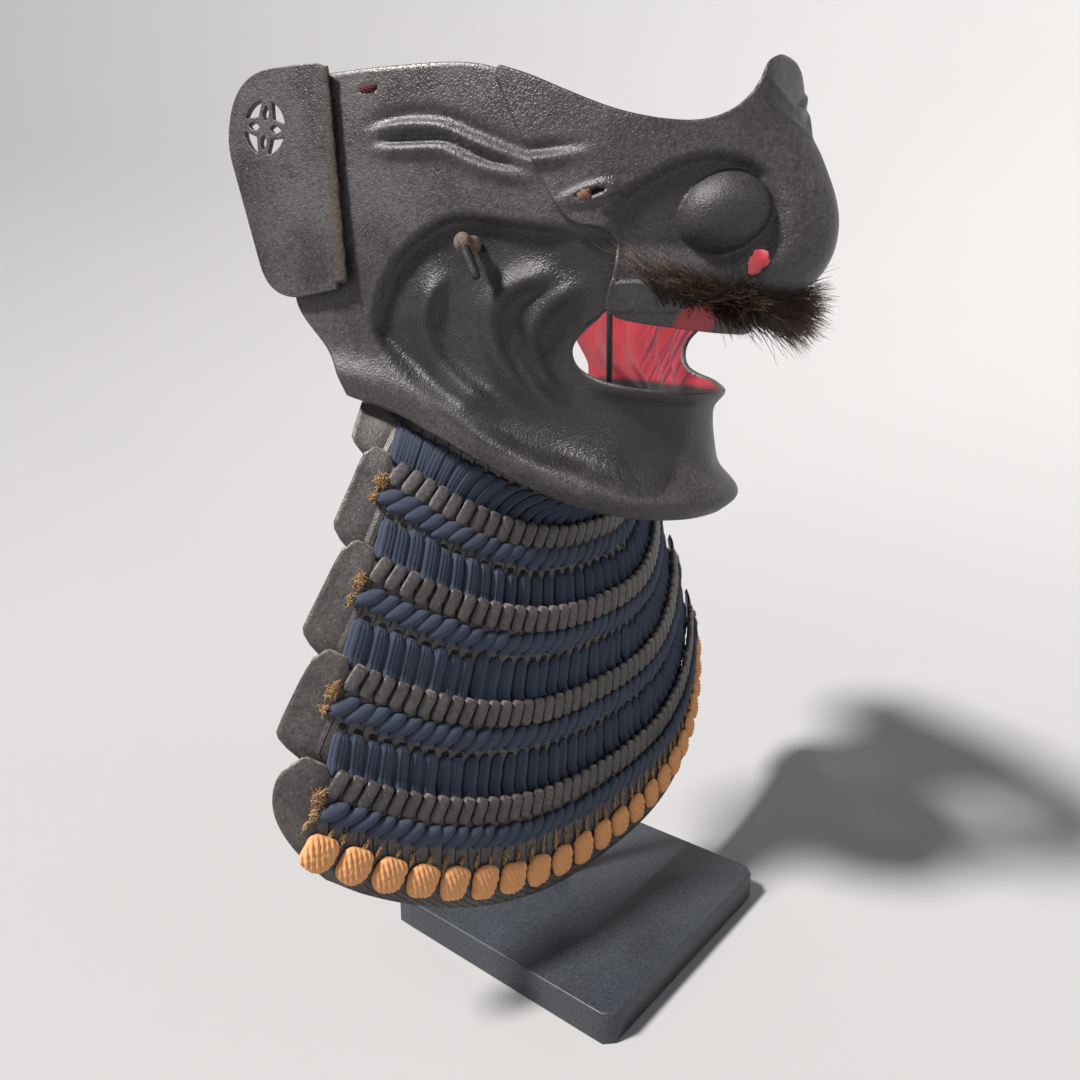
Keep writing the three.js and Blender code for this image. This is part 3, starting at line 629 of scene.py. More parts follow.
def bib_axes(s, level):
    """Unit directions along, up and out of the bib, from small steps of s and level."""
    step = 0.004
    along = unit(bib_point(s + step, level) - bib_point(s - step, level))
    up = unit(bib_point(s, level - 0.02) - bib_point(s, level + 0.02))
    out = unit(np.cross(along, up))
    return along, unit(np.cross(out, along)), out


def lame_lean(lame, level):
    """How far the outer face of a lame stands off the bib: each lame leans in as it goes down, so that its
    foot passes behind the top of the next one, and the hem lame doesn't lean."""
    return 0.0 if lame == LAME_COUNT - 1 else -LAME_SHINGLE * (level - lame)


def lame_point(lame, s, level, lift):
    """A point on a lame, lifted off its outer face."""
    _, _, out = bib_axes(s, level)
    return bib_point(s, level) + out * (lame_lean(lame, level) + lift)[..., None]


def even_places(level, pitch, share):
    """Places s, as many as fit at the pitch, evenly spaced in millimetres along a level of the bib."""
    s = np.linspace(-share, share, 1200)
    length = np.concatenate([[0], np.cumsum(np.linalg.norm(np.diff(bib_point(s, level), axis=0), axis=1))])
    count = int(length[-1] / pitch)
    return np.interp(length[-1] * (np.arange(count) + 0.5) / count, length, s)


def lame_grid(lame, columns, rows):
    """A lame's outer face: between its top edge and its foot, whose ends flare out and round in again. The
    laced middle starts a little lower than the blank end plates, which stand proud of it at the top."""
    foot = lame + LAME_REACH if lame < LAME_COUNT - 1 else HEM_LEVEL
    down = np.linspace(1, 0, rows)[:, None]
    place = np.linspace(-1, 1, columns)
    place = place + 0.06 * np.sin(2 * math.pi * place) * -0.5
    place = place[None] + 0 * down
    if lame < LAME_COUNT - 1:
        reach = 1 + LAME_FLARE * down**1.2 - FOOT_ROUND * np.clip((down - 0.80) / 0.20, 0, 1) ** 2.2
    else:
        reach = 1 + LAME_FLARE * np.sin(math.pi * 0.75 * down) - HEM_ROUND * down**5
    laced = 1 - smooth((np.abs(place) - LACED_SHARE) / 0.008)
    top = lame + 0.09 * laced - 0.02 * (1 - laced)
    level = top * (1 - down) + foot * down
    proud = 0.8 * (1 - laced) * (1 - smooth((level - lame - 0.30) / 0.05)) if lame else 0 * level
    corner = smooth((np.abs(place) - 0.965) / 0.035)
    proud = proud - 1.6 * smooth((np.abs(place) - 0.93) / 0.07)
    level = level + 0.15 * corner**2 * bell(down, 0.16)
    grid = lame_point(lame, place * reach, level, proud)
    edge = bell(down * (foot - lame) * 30, 1.3) * (1 - laced) + 0 * place
    if lame == LAME_COUNT - 1:
        edge = np.maximum(edge, 0.7 * bell((1 - down) * 34, 0.9))
    return grid, place, level, edge


# ==== materials ==================================================================================
def new_node(tree, kind, inputs=None, **settings):
    """A node with its settings, and its inputs set to values or linked from other nodes' sockets."""
    node = tree.nodes.new(kind)
    for key, value in settings.items():
        setattr(node, key, value)
    for key, value in (inputs or {}).items():
        if isinstance(value, bpy.types.NodeSocket):
            tree.links.new(value, node.inputs[key])
        else:
            node.inputs[key].default_value = value
    return node


def maths(tree, operation, a, b=0.0, clamp=False):
    """One Math node and its result."""
    return new_node(tree, "ShaderNodeMath", {0: a, 1: b}, operation=operation, use_clamp=clamp).outputs[0]


def mixed(tree, share, a, b):
    """A colour between a and b."""
    node = tree.nodes.new("ShaderNodeMix")
    node.data_type = "RGBA"
    for socket, value in ((node.inputs[0], share), (node.inputs[6], a), (node.inputs[7], b)):
        if isinstance(value, bpy.types.NodeSocket):
            tree.links.new(value, socket)
        else:
            socket.default_value = value
    return node.outputs[2]


def ramp(tree, value, low, high):
    """A value stretched so that low gives 0 and high gives 1, kept between them."""
    inputs = {"Value": value, "From Min": low, "From Max": high}
    return new_node(tree, "ShaderNodeMapRange", inputs, clamp=True).outputs[0]


def noise(tree, vector, scale, detail=3.0, roughness=0.55):
    """Noise over object coordinates in metres, from 0 to 1."""
    inputs = {"Vector": vector, "Scale": scale, "Detail": detail, "Roughness": roughness}
    return new_node(tree, "ShaderNodeTexNoise", inputs).outputs["Fac"]


def new_group(name, inputs, outputs):
    """A shader node group with named sockets, and its two ends."""
    group = bpy.data.node_groups.new(name, "ShaderNodeTree")
    for key, kind, value in inputs:
        socket = group.interface.new_socket(key, in_out="INPUT", socket_type=kind)
        if value is not None:
            socket.default_value = value
    for key, kind in outputs:
        group.interface.new_socket(key, in_out="OUTPUT", socket_type=kind)
    return group, group.nodes.new("NodeGroupInput"), group.nodes.new("NodeGroupOutput")


FLOAT, VECTOR = "NodeSocketFloat", "NodeSocketVector"


def grain_group():
    """Fine grain: three sizes of noise added up to a height, and a slow one as a mask."""
    if "Fine grain" in bpy.data.node_groups:
        return bpy.data.node_groups["Fine grain"]
    inputs = [("Vector", VECTOR, None), ("Grain size", FLOAT, 0.0006), ("Pits", FLOAT, 0.3)]
    tree, start, end = new_group("Fine grain", inputs, [("Height", FLOAT), ("Mask", FLOAT)])
    scale = maths(tree, "DIVIDE", 1.0, start.outputs["Grain size"])
    fine = noise(tree, start.outputs["Vector"], scale, 2.0, 0.6)
    coarse = noise(tree, start.outputs["Vector"], maths(tree, "MULTIPLY", scale, 0.3), 2.0)
    pits = new_node(
        tree, "ShaderNodeTexVoronoi",
        {"Vector": start.outputs["Vector"], "Scale": maths(tree, "MULTIPLY", scale, 0.5)},
    ).outputs["Distance"]
    height = maths(tree, "ADD", fine, maths(tree, "MULTIPLY", coarse, 0.7))
    pit_share = maths(tree, "MULTIPLY", ramp(tree, pits, 0.0, 0.25), start.outputs["Pits"])
    tree.links.new(maths(tree, "ADD", height, pit_share), end.inputs["Height"])
    tree.links.new(noise(tree, start.outputs["Vector"], 45.0, 4.0, 0.6), end.inputs["Mask"])
    return tree


def wear_group():
    """Edge wear: the wear painted on the points, broken up by noise, as a mask."""
    if "Edge wear" in bpy.data.node_groups:
        return bpy.data.node_groups["Edge wear"]
    inputs = [("Vector", VECTOR, None), ("Wear", FLOAT, 0.0), ("Break-up", FLOAT, 260.0)]
    tree, start, end = new_group("Edge wear", inputs, [("Mask", FLOAT)])
    patch = noise(tree, start.outputs["Vector"], start.outputs["Break-up"], 4.0, 0.7)
    worn = maths(tree, "ADD", start.outputs["Wear"], maths(tree, "SUBTRACT", patch, 0.5))
    tree.links.new(ramp(tree, worn, 0.55, 0.85), end.inputs["Mask"])
    return tree


def fibre_group():
    """Cord fibre: fine lines along the piece's own v direction, waved and broken by noise."""
    if "Cord fibre" in bpy.data.node_groups:
        return bpy.data.node_groups["Cord fibre"]
    inputs = [("UV", VECTOR, None), ("Vector", VECTOR, None), ("Lines", FLOAT, 9.0), ("Slant", FLOAT, 0.6)]
    tree, start, end = new_group("Cord fibre", inputs, [("Height", FLOAT), ("Mask", FLOAT)])
    parts = new_node(tree, "ShaderNodeSeparateXYZ", {"Vector": start.outputs["UV"]})
    lean = maths(tree, "MULTIPLY", parts.outputs["Y"], start.outputs["Slant"])
    wobble = maths(tree, "MULTIPLY", noise(tree, start.outputs["Vector"], 700.0, 2.0), 0.12)
    across = maths(tree, "ADD", maths(tree, "ADD", parts.outputs["X"], lean), wobble)
    turns = maths(tree, "MULTIPLY", maths(tree, "MULTIPLY", across, start.outputs["Lines"]), 2 * math.pi)
    lines = maths(tree, "MULTIPLY", maths(tree, "ADD", maths(tree, "SINE", turns), 1.0), 0.5)
    fuzz = noise(tree, start.outputs["Vector"], 2600.0, 3.0, 0.7)
    height = maths(tree, "ADD", maths(tree, "MULTIPLY", lines, 0.6), maths(tree, "MULTIPLY", fuzz, 0.7))
    tree.links.new(height, end.inputs["Height"])
    tree.links.new(maths(tree, "MULTIPLY", lines, fuzz), end.inputs["Mask"])
    return tree


def start_material(name):
    """An empty node material with its Principled shader and its coordinates."""
    material = bpy.data.materials.new(name)
    material.use_nodes = True
    tree = material.node_tree
    shader = tree.nodes["Principled BSDF"]
    place = tree.nodes.new("ShaderNodeTexCoord")
    return material, tree, shader, place


def group_node(tree, group, inputs):
    """A group placed in a material with its own values."""
    node = tree.nodes.new("ShaderNodeGroup")
    node.node_tree = group
    for key, value in inputs.items():
        if isinstance(value, bpy.types.NodeSocket):
            tree.links.new(value, node.inputs[key])
        else:
            node.inputs[key].default_value = value
    return node


def bumped(tree, shader, height, depth, strength=1.0):
    """A Bump node of that depth in metres on the shader's normal."""
    bump = new_node(tree, "ShaderNodeBump", {"Height": height, "Distance": depth, "Strength": strength})
    tree.links.new(bump.outputs[0], shader.inputs["Normal"])


def opaque(colour):
    return (*colour[:3], 1.0)


def lacquer_material(name, dark, light, worn, grain=0.0006, depth=0.00022, rough=(0.31, 0.54)):
    """Lacquer over a ground of fine grit: two tones in slow patches, grain, wear where it is painted, and
    painted shade, a darker tone with fewer dust flecks, where the shade attribute is painted.
    """
    material, tree, shader, place = start_material(name)
    vector = place.outputs["Object"]
    wear = new_node(tree, "ShaderNodeAttribute", attribute_name="wear").outputs["Fac"]
    speck = group_node(tree, grain_group(), {"Vector": vector, "Grain size": grain})
    rub = group_node(tree, wear_group(), {"Vector": vector, "Wear": wear})
    sunken = new_node(tree, "ShaderNodeAttribute", attribute_name="sunken").outputs["Fac"]
    painted = new_node(tree, "ShaderNodeAttribute", attribute_name="painted").outputs["Fac"]
    patch = ramp(tree, speck.outputs["Mask"], 0.35, 0.65)
    dust = ramp(tree, noise(tree, vector, 1100.0, 3.0, 0.7), 0.50, 0.74)
    pore = ramp(tree, noise(tree, vector, 700.0, 3.0, 0.7), 0.50, 0.36)
    tone = mixed(tree, patch, opaque(dark), opaque(light))
    # Painted shade: where the shade attribute is painted, a tone at a third of the lacquer's, with fewer dust
    # flecks.
    deep = mixed(tree, patch, opaque([c * 0.34 for c in dark]), opaque([c * 0.34 for c in light]))
    tone = mixed(tree, maths(tree, "MULTIPLY", sunken, 0.9), tone, deep)
    dust_outside_shade = maths(tree, "SUBTRACT", 0.34, maths(tree, "MULTIPLY", sunken, 0.26))
    tone = mixed(tree, maths(tree, "MULTIPLY", dust, dust_outside_shade), tone, opaque(worn))
    tone = mixed(tree, maths(tree, "MULTIPLY", pore, 0.6), tone, opaque([c * 0.4 for c in dark]))
    tone = mixed(tree, maths(tree, "MULTIPLY", rub.outputs["Mask"], 0.8), tone, opaque(worn))
    tone = mixed(tree, painted, tone, (0.30, 0.03, 0.035, 1))
    tree.links.new(tone, shader.inputs["Base Color"])
    low, high = rough
    roughness = maths(tree, "ADD", maths(tree, "MULTIPLY", patch, high - low), low)
    roughness = maths(tree, "SUBTRACT", roughness, maths(tree, "MULTIPLY", rub.outputs["Mask"], 0.12))
    tree.links.new(roughness, shader.inputs["Roughness"])
    bumped(tree, shader, speck.outputs["Height"], depth)
    return material


def lame_material(name, dark, light, worn):
    """Iron lames made of upright scales: a thin dark groove between two scales at each whole number of u."""
    material = lacquer_material(name, dark, light, worn, 0.0007, 0.00016, (0.42, 0.58))
    tree = material.node_tree
    shader = tree.nodes["Principled BSDF"]
    place = tree.nodes.new("ShaderNodeTexCoord")
    parts = new_node(tree, "ShaderNodeSeparateXYZ", {"Vector": place.outputs["UV"]})
    from_line = maths(tree, "PINGPONG", parts.outputs["X"], 0.5)
    groove = ramp(tree, from_line, 0.07, 0.02)
    base = shader.inputs["Base Color"].links[0].from_socket
    tree.links.new(mixed(tree, maths(tree, "MULTIPLY", groove, 0.75), base, opaque([c * 0.2 for c in dark])),
                   shader.inputs["Base Color"])
    old = shader.inputs["Normal"].links[0].from_socket
    rising = maths(tree, "MULTIPLY", maths(tree, "FRACT", parts.outputs["X"]), 0.6)
    slope = maths(tree, "SUBTRACT", rising, groove)
    bump = new_node(tree, "ShaderNodeBump", {"Height": slope, "Distance": 0.0005, "Normal": old})
    tree.links.new(bump.outputs[0], shader.inputs["Normal"])
    return material


def red_lacquer_material(colour):
    """Glossy red lacquer inside the mask, with dark streaks that lean along the wall, painted as reflections
    and shadows of cords on the gloss, a chipped grey patch by the mouth's corners, and painted shade, near
    black, towards the chin."""
    material, tree, shader, place = start_material("red_lacquer")
    vector = place.outputs["Object"]
    parts = new_node(tree, "ShaderNodeSeparateXYZ", {"Vector": vector})
    y, z = (maths(tree, "MULTIPLY", parts.outputs[k], 1000.0) for k in "YZ")
    lean = maths(tree, "ADD", y, maths(tree, "MULTIPLY", z, 0.55))
    run = new_node(tree, "ShaderNodeCombineXYZ", {0: maths(tree, "MULTIPLY", lean, 1.0),
                                                  1: maths(tree, "MULTIPLY", z, 0.06), 2: 0.0})
    # Painted reflections and shadows: dark streaks on the red, kept to a band of the wall by the zone.
    reflection_streak = ramp(tree, noise(tree, run.outputs[0], 0.42, 2.0, 0.5), 0.52, 0.60)
    zone = maths(tree, "MULTIPLY", ramp(tree, y, 8.0, 2.0), ramp(tree, y, -27.0, -22.0))
    patch = noise(tree, vector, 110.0, 4.0, 0.65)
    spot_y = maths(tree, "ABSOLUTE", maths(tree, "ADD", y, 36.5))
    spot_z = maths(tree, "ABSOLUTE", maths(tree, "SUBTRACT", z, 212.0))
    spot = maths(tree, "ADD", maths(tree, "DIVIDE", spot_y, 4.0), maths(tree, "DIVIDE", spot_z, 9.0))
    spot = maths(tree, "ADD", spot, maths(tree, "MULTIPLY", maths(tree, "SUBTRACT", patch, 0.5), 2.2))
    chip = ramp(tree, spot, 1.05, 0.9)
    # Painted shade: the inside of the chin turns near black below a wavy level.
    chin_shade = ramp(tree, maths(tree, "ADD", z, maths(tree, "MULTIPLY", patch, 3.0)), 203.0, 201.0)
    tone = mixed(tree, ramp(tree, patch, 0.3, 0.7), opaque(colour), opaque([c * 0.72 for c in colour]))
    tone = mixed(tree, maths(tree, "MULTIPLY", maths(tree, "MULTIPLY", reflection_streak, zone), 0.9), tone,
                 (0.055, 0.010, 0.028, 1))
    tone = mixed(tree, chip, tone, (0.10, 0.085, 0.08, 1))
    tone = mixed(tree, chin_shade, tone, (0.012, 0.010, 0.010, 1))
    tree.links.new(tone, shader.inputs["Base Color"])
    tree.links.new(maths(tree, "ADD", maths(tree, "MULTIPLY", chip, 0.3), 0.42), shader.inputs["Roughness"])
    height = maths(tree, "SUBTRACT", noise(tree, vector, 60.0, 2.0), maths(tree, "MULTIPLY", chip, 0.5))
    bumped(tree, shader, height, 0.0004)
    shader.inputs["Coat Weight"].default_value = 0.12
    return material


def silk_material(name, dark, light, lines=9.0, slant=0.6, depth=0.00022, sheen=0.25):
    """Braided silk: fibre lines along the cord with their tone and bump, and slow fading."""
    material, tree, shader, place = start_material(name)
    vector = place.outputs["Object"]
    fibre = group_node(tree, fibre_group(), {"UV": place.outputs["UV"], "Vector": vector, "Lines": lines,
                                             "Slant": slant})
    fade = ramp(tree, noise(tree, vector, 230.0, 4.0, 0.65), 0.36, 0.68)
    faded = maths(tree, "ADD", maths(tree, "MULTIPLY", fade, 0.8), 1.0)
    share = maths(tree, "MULTIPLY", fibre.outputs["Mask"], faded, clamp=True)
    tree.links.new(mixed(tree, share, opaque(dark), opaque(light)), shader.inputs["Base Color"])
    tree.links.new(maths(tree, "ADD", maths(tree, "MULTIPLY", fade, 0.15), 0.75), shader.inputs["Roughness"])
    shader.inputs["Specular IOR Level"].default_value = 0.12
    shader.inputs["Sheen Weight"].default_value = sheen
    shader.inputs["Sheen Roughness"].default_value = 0.5
    bumped(tree, shader, fibre.outputs["Height"], depth)
    return material


def hair_material(root, tip):
    """Horsehair: dark at the root and sun-bleached towards the tip, by the share painted on the points."""
    material, tree, shader, place = start_material("horsehair")
    share = new_node(tree, "ShaderNodeAttribute", attribute_name="tip").outputs["Fac"]
    vary = noise(tree, place.outputs["Object"], 420.0, 3.0, 0.7)
    share = maths(tree, "MULTIPLY", share, maths(tree, "ADD", vary, 0.4), clamp=True)
    tree.links.new(mixed(tree, share, opaque(root), opaque(tip)), shader.inputs["Base Color"])
    tree.links.new(maths(tree, "ADD", maths(tree, "MULTIPLY", vary, 0.2), 0.38), shader.inputs["Roughness"])
    return material


def floor_material(colour):
    """Plain pale backdrop with the faintest mottling."""
    material, tree, shader, place = start_material("pale_floor")
    soft = noise(tree, place.outputs["Object"], 3.0, 2.0)
    tone = mixed(tree, maths(tree, "MULTIPLY", soft, 0.06), opaque(colour), (0.6, 0.6, 0.61, 1))
    tree.links.new(tone, shader.inputs["Base Color"])
    tree.links.new(maths(tree, "ADD", maths(tree, "MULTIPLY", soft, 0.05), 0.85), shader.inputs["Roughness"])
    return material


def made(name, maker, *values, **named):
    """A material by name, made the first time that it is asked for."""
    return bpy.data.materials.get(name) or maker(*values, **named)


# ==== the user's values ==========================================================================
def colour_prop(name, description, default):
    return FloatVectorProperty(name=name, description=description, default=default, subtype="COLOR",
                               min=0.0, max=1.0, size=3)


def length_prop(name, description, default):
    return FloatProperty(name=name, description=description, default=default * MM, unit="LENGTH", min=0.0)


class FaceGuardMask(bpy.types.PropertyGroup):
    wall: length_prop("Wall", "Thickness of the iron of the mask", 1.8)
    lacquer_dark: colour_prop("Lacquer, dark", "Darker tone of the black lacquer", (0.031, 0.027, 0.029))
    # The light tone leans blue: besides the lacquer's lighter patches, it holds a painted sheen of the bluish
    # sky.
    lacquer_light: colour_prop("Lacquer, light", "Lighter tone of the black lacquer", (0.058, 0.052, 0.060))
    worn: colour_prop("Worn edge", "Where the lacquer is rubbed", (0.20, 0.175, 0.165))
    red: colour_prop("Red lacquer", "Inside of the mask", (0.32, 0.018, 0.030))
    seam: colour_prop("Seam", "Rough roll along the ear plate", (0.058, 0.041, 0.034))


class FaceGuardThroat(bpy.types.PropertyGroup):
    wall: length_prop("Lame wall", "Thickness of a lame", 1.4)
    pitch: length_prop("Scale pitch", "From one scale head to the next", 4.75)
    head_width: length_prop("Head width", "Width of a scale head", 4.15)
    head_height: length_prop("Head height", "Height of a scale head", 8.8)
    iron_dark: colour_prop("Scales, dark", "Darker tone of the scale heads", (0.044, 0.039, 0.039))
    iron_light: colour_prop("Scales, light", "Lighter tone of the scale heads", (0.080, 0.071, 0.070))
    worn: colour_prop("Worn head", "Where the scale heads are rubbed", (0.24, 0.21, 0.20))
    silk_dark: colour_prop("Navy silk, dark", "Shaded tone of the lacing", (0.0010, 0.0011, 0.0014))
    silk_light: colour_prop("Navy silk, light", "Lit tone of the lacing", (0.0185, 0.0198, 0.0225))


class FaceGuardPads(bpy.types.PropertyGroup):
    width: length_prop("Pad width", "Width of a silk pad", 10.0)
    height: length_prop("Pad height", "Height of a silk pad", 10.8)
    thickness: length_prop("Pad thickness", "How far a pad stands off the hem", 2.4)
    dark: colour_prop("Orange, dark", "Shaded tone of the orange silk", (0.085, 0.024, 0.014))
    light: colour_prop("Orange, light", "Lit tone of the orange silk", (0.37, 0.145, 0.082))
    fuzz: colour_prop("Frayed silk", "Tips of the frayed silk", (0.52, 0.32, 0.155))


class FaceGuardHair(bpy.types.PropertyGroup):
    strands: IntProperty(name="Strands", description="Hairs in each half", default=2600, min=100, max=4500)
    thickness: length_prop("Hair thickness", "Radius of a hair at its root", 0.14)
    root: colour_prop("Hair root", "Colour near the lip", (0.006, 0.004, 0.003))
    tip: colour_prop("Hair tip", "Colour at the ends", (0.080, 0.041, 0.021))


class FaceGuardStand(bpy.types.PropertyGroup):
    bevel: length_prop("Base bevel", "Rounding of the base's edges", 0.7)
    colour: colour_prop("Stand", "Colour of the base and the post", (0.031, 0.036, 0.045))


class FaceGuardStage(bpy.types.PropertyGroup):
    floor: colour_prop("Floor", "Colour of the floor and backdrop", (0.37, 0.37, 0.375))
    key: FloatProperty(name="Key light", description="Strength of the key light", default=6.8)
    softness: FloatProperty(name="Softness", description="How wide the key light looks", unit="ROTATION",
                            default=math.radians(9))
    world: FloatProperty(name="Surroundings", description="Strength of the light all round", default=0.16)


def lacquer():
    mask = bpy.context.scene.face_guard_mask
    return made("black_lacquer", lacquer_material, "black_lacquer", mask.lacquer_dark, mask.lacquer_light,
                mask.worn)


def red_lacquer():
    return made("red_lacquer", red_lacquer_material, tuple(bpy.context.scene.face_guard_mask.red))


def iron():
    throat = bpy.context.scene.face_guard_throat
    return made("scale_iron", lacquer_material, "scale_iron", throat.iron_dark, throat.iron_light,
                throat.worn, grain=0.0007, depth=0.00016, rough=(0.42, 0.58))


def lame_iron():
    throat = bpy.context.scene.face_guard_throat
    return made("lame_iron", lame_material, "lame_iron", throat.iron_dark, throat.iron_light, throat.worn)


def shadowed():
    return made("lace_hole", lacquer_material, "lace_hole", (0.002, 0.002, 0.002), (0.004, 0.004, 0.004),
                (0.01, 0.01, 0.01), rough=(0.8, 0.9))


def navy_silk():
    throat = bpy.context.scene.face_guard_throat
    return made("navy_silk", silk_material, "navy_silk", throat.silk_dark, throat.silk_light, lines=6.0,
                depth=0.0011, sheen=0.02)


def orange_silk():
    pads = bpy.context.scene.face_guard_pads
    return made("orange_silk", silk_material, "orange_silk", pads.dark, pads.light, lines=8.0, slant=0.9,
                depth=0.0005, sheen=0.1)


def frayed_silk():
    pads = bpy.context.scene.face_guard_pads
    root = tuple(c * 0.7 for c in pads.fuzz)
    return made("frayed_silk", silk_material, "frayed_silk", root, pads.fuzz, lines=3.0, slant=0.5,
                depth=0.0001, sheen=0.1)


def cord_brown():
    return made("tie_cord", silk_material, "tie_cord", (0.020, 0.011, 0.008), (0.045, 0.028, 0.021), 5.0, 1.5)


def cord_red():
    return made("rim_cord", silk_material, "rim_cord", (0.03, 0.004, 0.006), (0.16, 0.025, 0.035), 5.0, 1.5)


def scene_object_name(name, side):
    """The name of a piece that comes in pairs, by the wearer's side."""
    return f"{name}_{'left' if side > 0 else 'right'}"


# ==== pieces of the mask =========================================================================
def walled(grid, keep, wall):
    """Front and back skins of a grid: the back stands the wall's thickness behind the blurred front along
    blurred normals, so that it is smoother than the front, as on beaten iron."""
    normals = unit(blurred(grid_normals(grid), 10))
    return thick_sheet(grid, blurred(grid, 8) - normals * wall, keep, wall * 0.45)


def with_edges(points, front_value, rim_value):
    """A painted value for every point of a walled grid: as painted in front, none behind, and one value on
    the rim."""
    count = front_value.size
    values = np.full(len(points), float(rim_value))
    values[:count] = front_value.ravel()
    values[count : 2 * count] = 0
    return values


def sheet_object(name, grid, keep, painted, wall, slot, materials, replaces):
    """A walled grid as a piece, with its painted values carried over and its unused points dropped."""
    points, faces, part = walled(grid, keep, wall)
    keys = list(painted)
    values = [with_edges(points, painted[key], 0.3 if key == "wear" else 0.0) for key in keys]
    points, (faces,), *values = without_loose(points, [faces], *values)
    part = np.minimum(part, len(materials) - 1)
    return mesh_object(name, points, [faces], slot, materials, part, None, dict(zip(keys, values)), replaces)


class FACEGUARD_OT_mask_shell(bpy.types.Operator):
    """Build the cheeks, jaw and lower lip as one beaten shell with the slots for the rim ties"""

    bl_idname = "face_guard.mask_shell"
    bl_label = "Mask shell"
    columns, rows = 331, 95

    def execute(self, context):
        wall = context.scene.face_guard_mask.wall / MM
        grid, keep, painted = shell_grid(self.columns, self.rows)
        materials = [lacquer(), red_lacquer(), lacquer()]
        sheet_object("mask_shell_beaten", grid, keep, painted, wall, "lacquer", materials, ["mask_shell"])
        return {"FINISHED"}


class FACEGUARD_OT_nose_piece(bpy.types.Operator):
    """Build the nose, upper lip and wings as one beaten sheet with open nostrils and tie slots"""

    bl_idname = "face_guard.nose_piece"
    bl_label = "Nose piece"
    columns, rows = 321, 129

    def execute(self, context):
        wall = context.scene.face_guard_mask.wall / MM
        grid, keep, painted = nose_grid(self.columns, self.rows)
        materials = [lacquer(), red_lacquer(), lacquer()]
        sheet_object("nose_piece_beaten", grid, keep, painted, wall, "lacquer", materials, ["nose_piece"])
        return {"FINISHED"}


def flat_curve(name, outlines, depth, bevel):
    """A flat plate from closed outlines (the first is the edge, the others are holes), thick and bevelled,
    as a mesh in millimetres lying in its own plane."""
    data = bpy.data.curves.new(name, "CURVE")
    data.dimensions = "2D"
    data.fill_mode = "BOTH"
    data.extrude = depth / 2 - bevel
    data.bevel_depth = bevel
    data.bevel_resolution = 2
    for outline in outlines:
        spline = data.splines.new("POLY")
        spline.points.add(len(outline) - 1)
        spline.points.foreach_set("co", np.column_stack([outline, np.zeros(len(outline)),
                                                         np.ones(len(outline))]).ravel())
        spline.use_cyclic_u = True
    made_object = bpy.data.objects.new(name, data)
    bpy.context.scene.collection.objects.link(made_object)
    bpy.context.view_layer.update()
    mesh = bpy.data.meshes.new_from_object(made_object)
    bpy.data.objects.remove(made_object)
    return mesh


def quadratic(a, b, c, count=14):
    """Points of a quadratic curve from a by b to c, without its last point."""
    t = np.linspace(0, 1, count, endpoint=False)[:, None]
    return (1 - t) ** 2 * np.array(a) + 2 * t * (1 - t) * np.array(b) + t * t * np.array(c)


def ear_outline():
    """The ear plate's edge as (rearwards, up) from its front lower corner."""
    return np.concatenate([
        np.array([[0, 0.5], [0, EAR_TOP - 1]]),
        quadratic((0, EAR_TOP - 1), (1, EAR_TOP + 1.2), (4, EAR_TOP + 1.2), 6),
        quadratic((4, EAR_TOP + 1.2), (12, EAR_TOP + 1.6), (20, EAR_TOP + 1.5), 6),
        quadratic((20, EAR_TOP + 1.5), (33, EAR_TOP + 1), (36, 49)),
        quadratic((36, 49), (37.5, 44), (36, 38)),
        quadratic((36, 38), (32, 23), (28, 8), 4),
        quadratic((28, 8), (25, -2), (14, -1.5)),
        quadratic((14, -1.5), (6, -0.5), (0, 0.5), 5),
    ])


def crest_outlines():
    """The plain pierced ring: a leaf-shaped hole on each axis and a wedge-shaped gap on each diagonal."""
    centre = np.array([CREST["along"], CREST["up"]])

    def place(radius, angle):
        return centre + radius * np.array([math.cos(angle), math.sin(angle)])

    outlines = []
    for k in range(4):
        axis = CREST["tilt"] + k * math.pi / 2
        near, far = place(CREST["boss"] + 0.3, axis), place(CREST["radius"] - CREST["wire"] - 0.6, axis)
        there = quadratic(near, place(4.6, axis - 0.62), far, 10)
        back = quadratic(far, place(4.6, axis + 0.62), near, 10)
        outlines.append(np.concatenate([there, back]))
        diagonal = axis + math.pi / 4
        arc = [place(CREST["radius"], diagonal + a) for a in np.linspace(-0.6, 0.6, 13)]
        outlines.append(np.array([place(CREST["boss"] + 2.2, diagonal), *arc]))
    return outlines


def ear_matrix(side):
    """Stands the flat plate along the rear of the cheek: rearwards to +Y, up to +Z, thickness to the side,
    flared about the vertical and moved to the cheek."""
    upright = Matrix(((0, 0, side, 0), (1, 0, 0, 0), (0, 1, 0, 0), (0, 0, 0, 1)))
    place = Matrix.Translation((-side * EAR_FRONT[0], EAR_FRONT[1], EAR_FRONT[2]))
    return place @ Matrix.Rotation(-side * EAR_FLARE, 4, "Z") @ upright


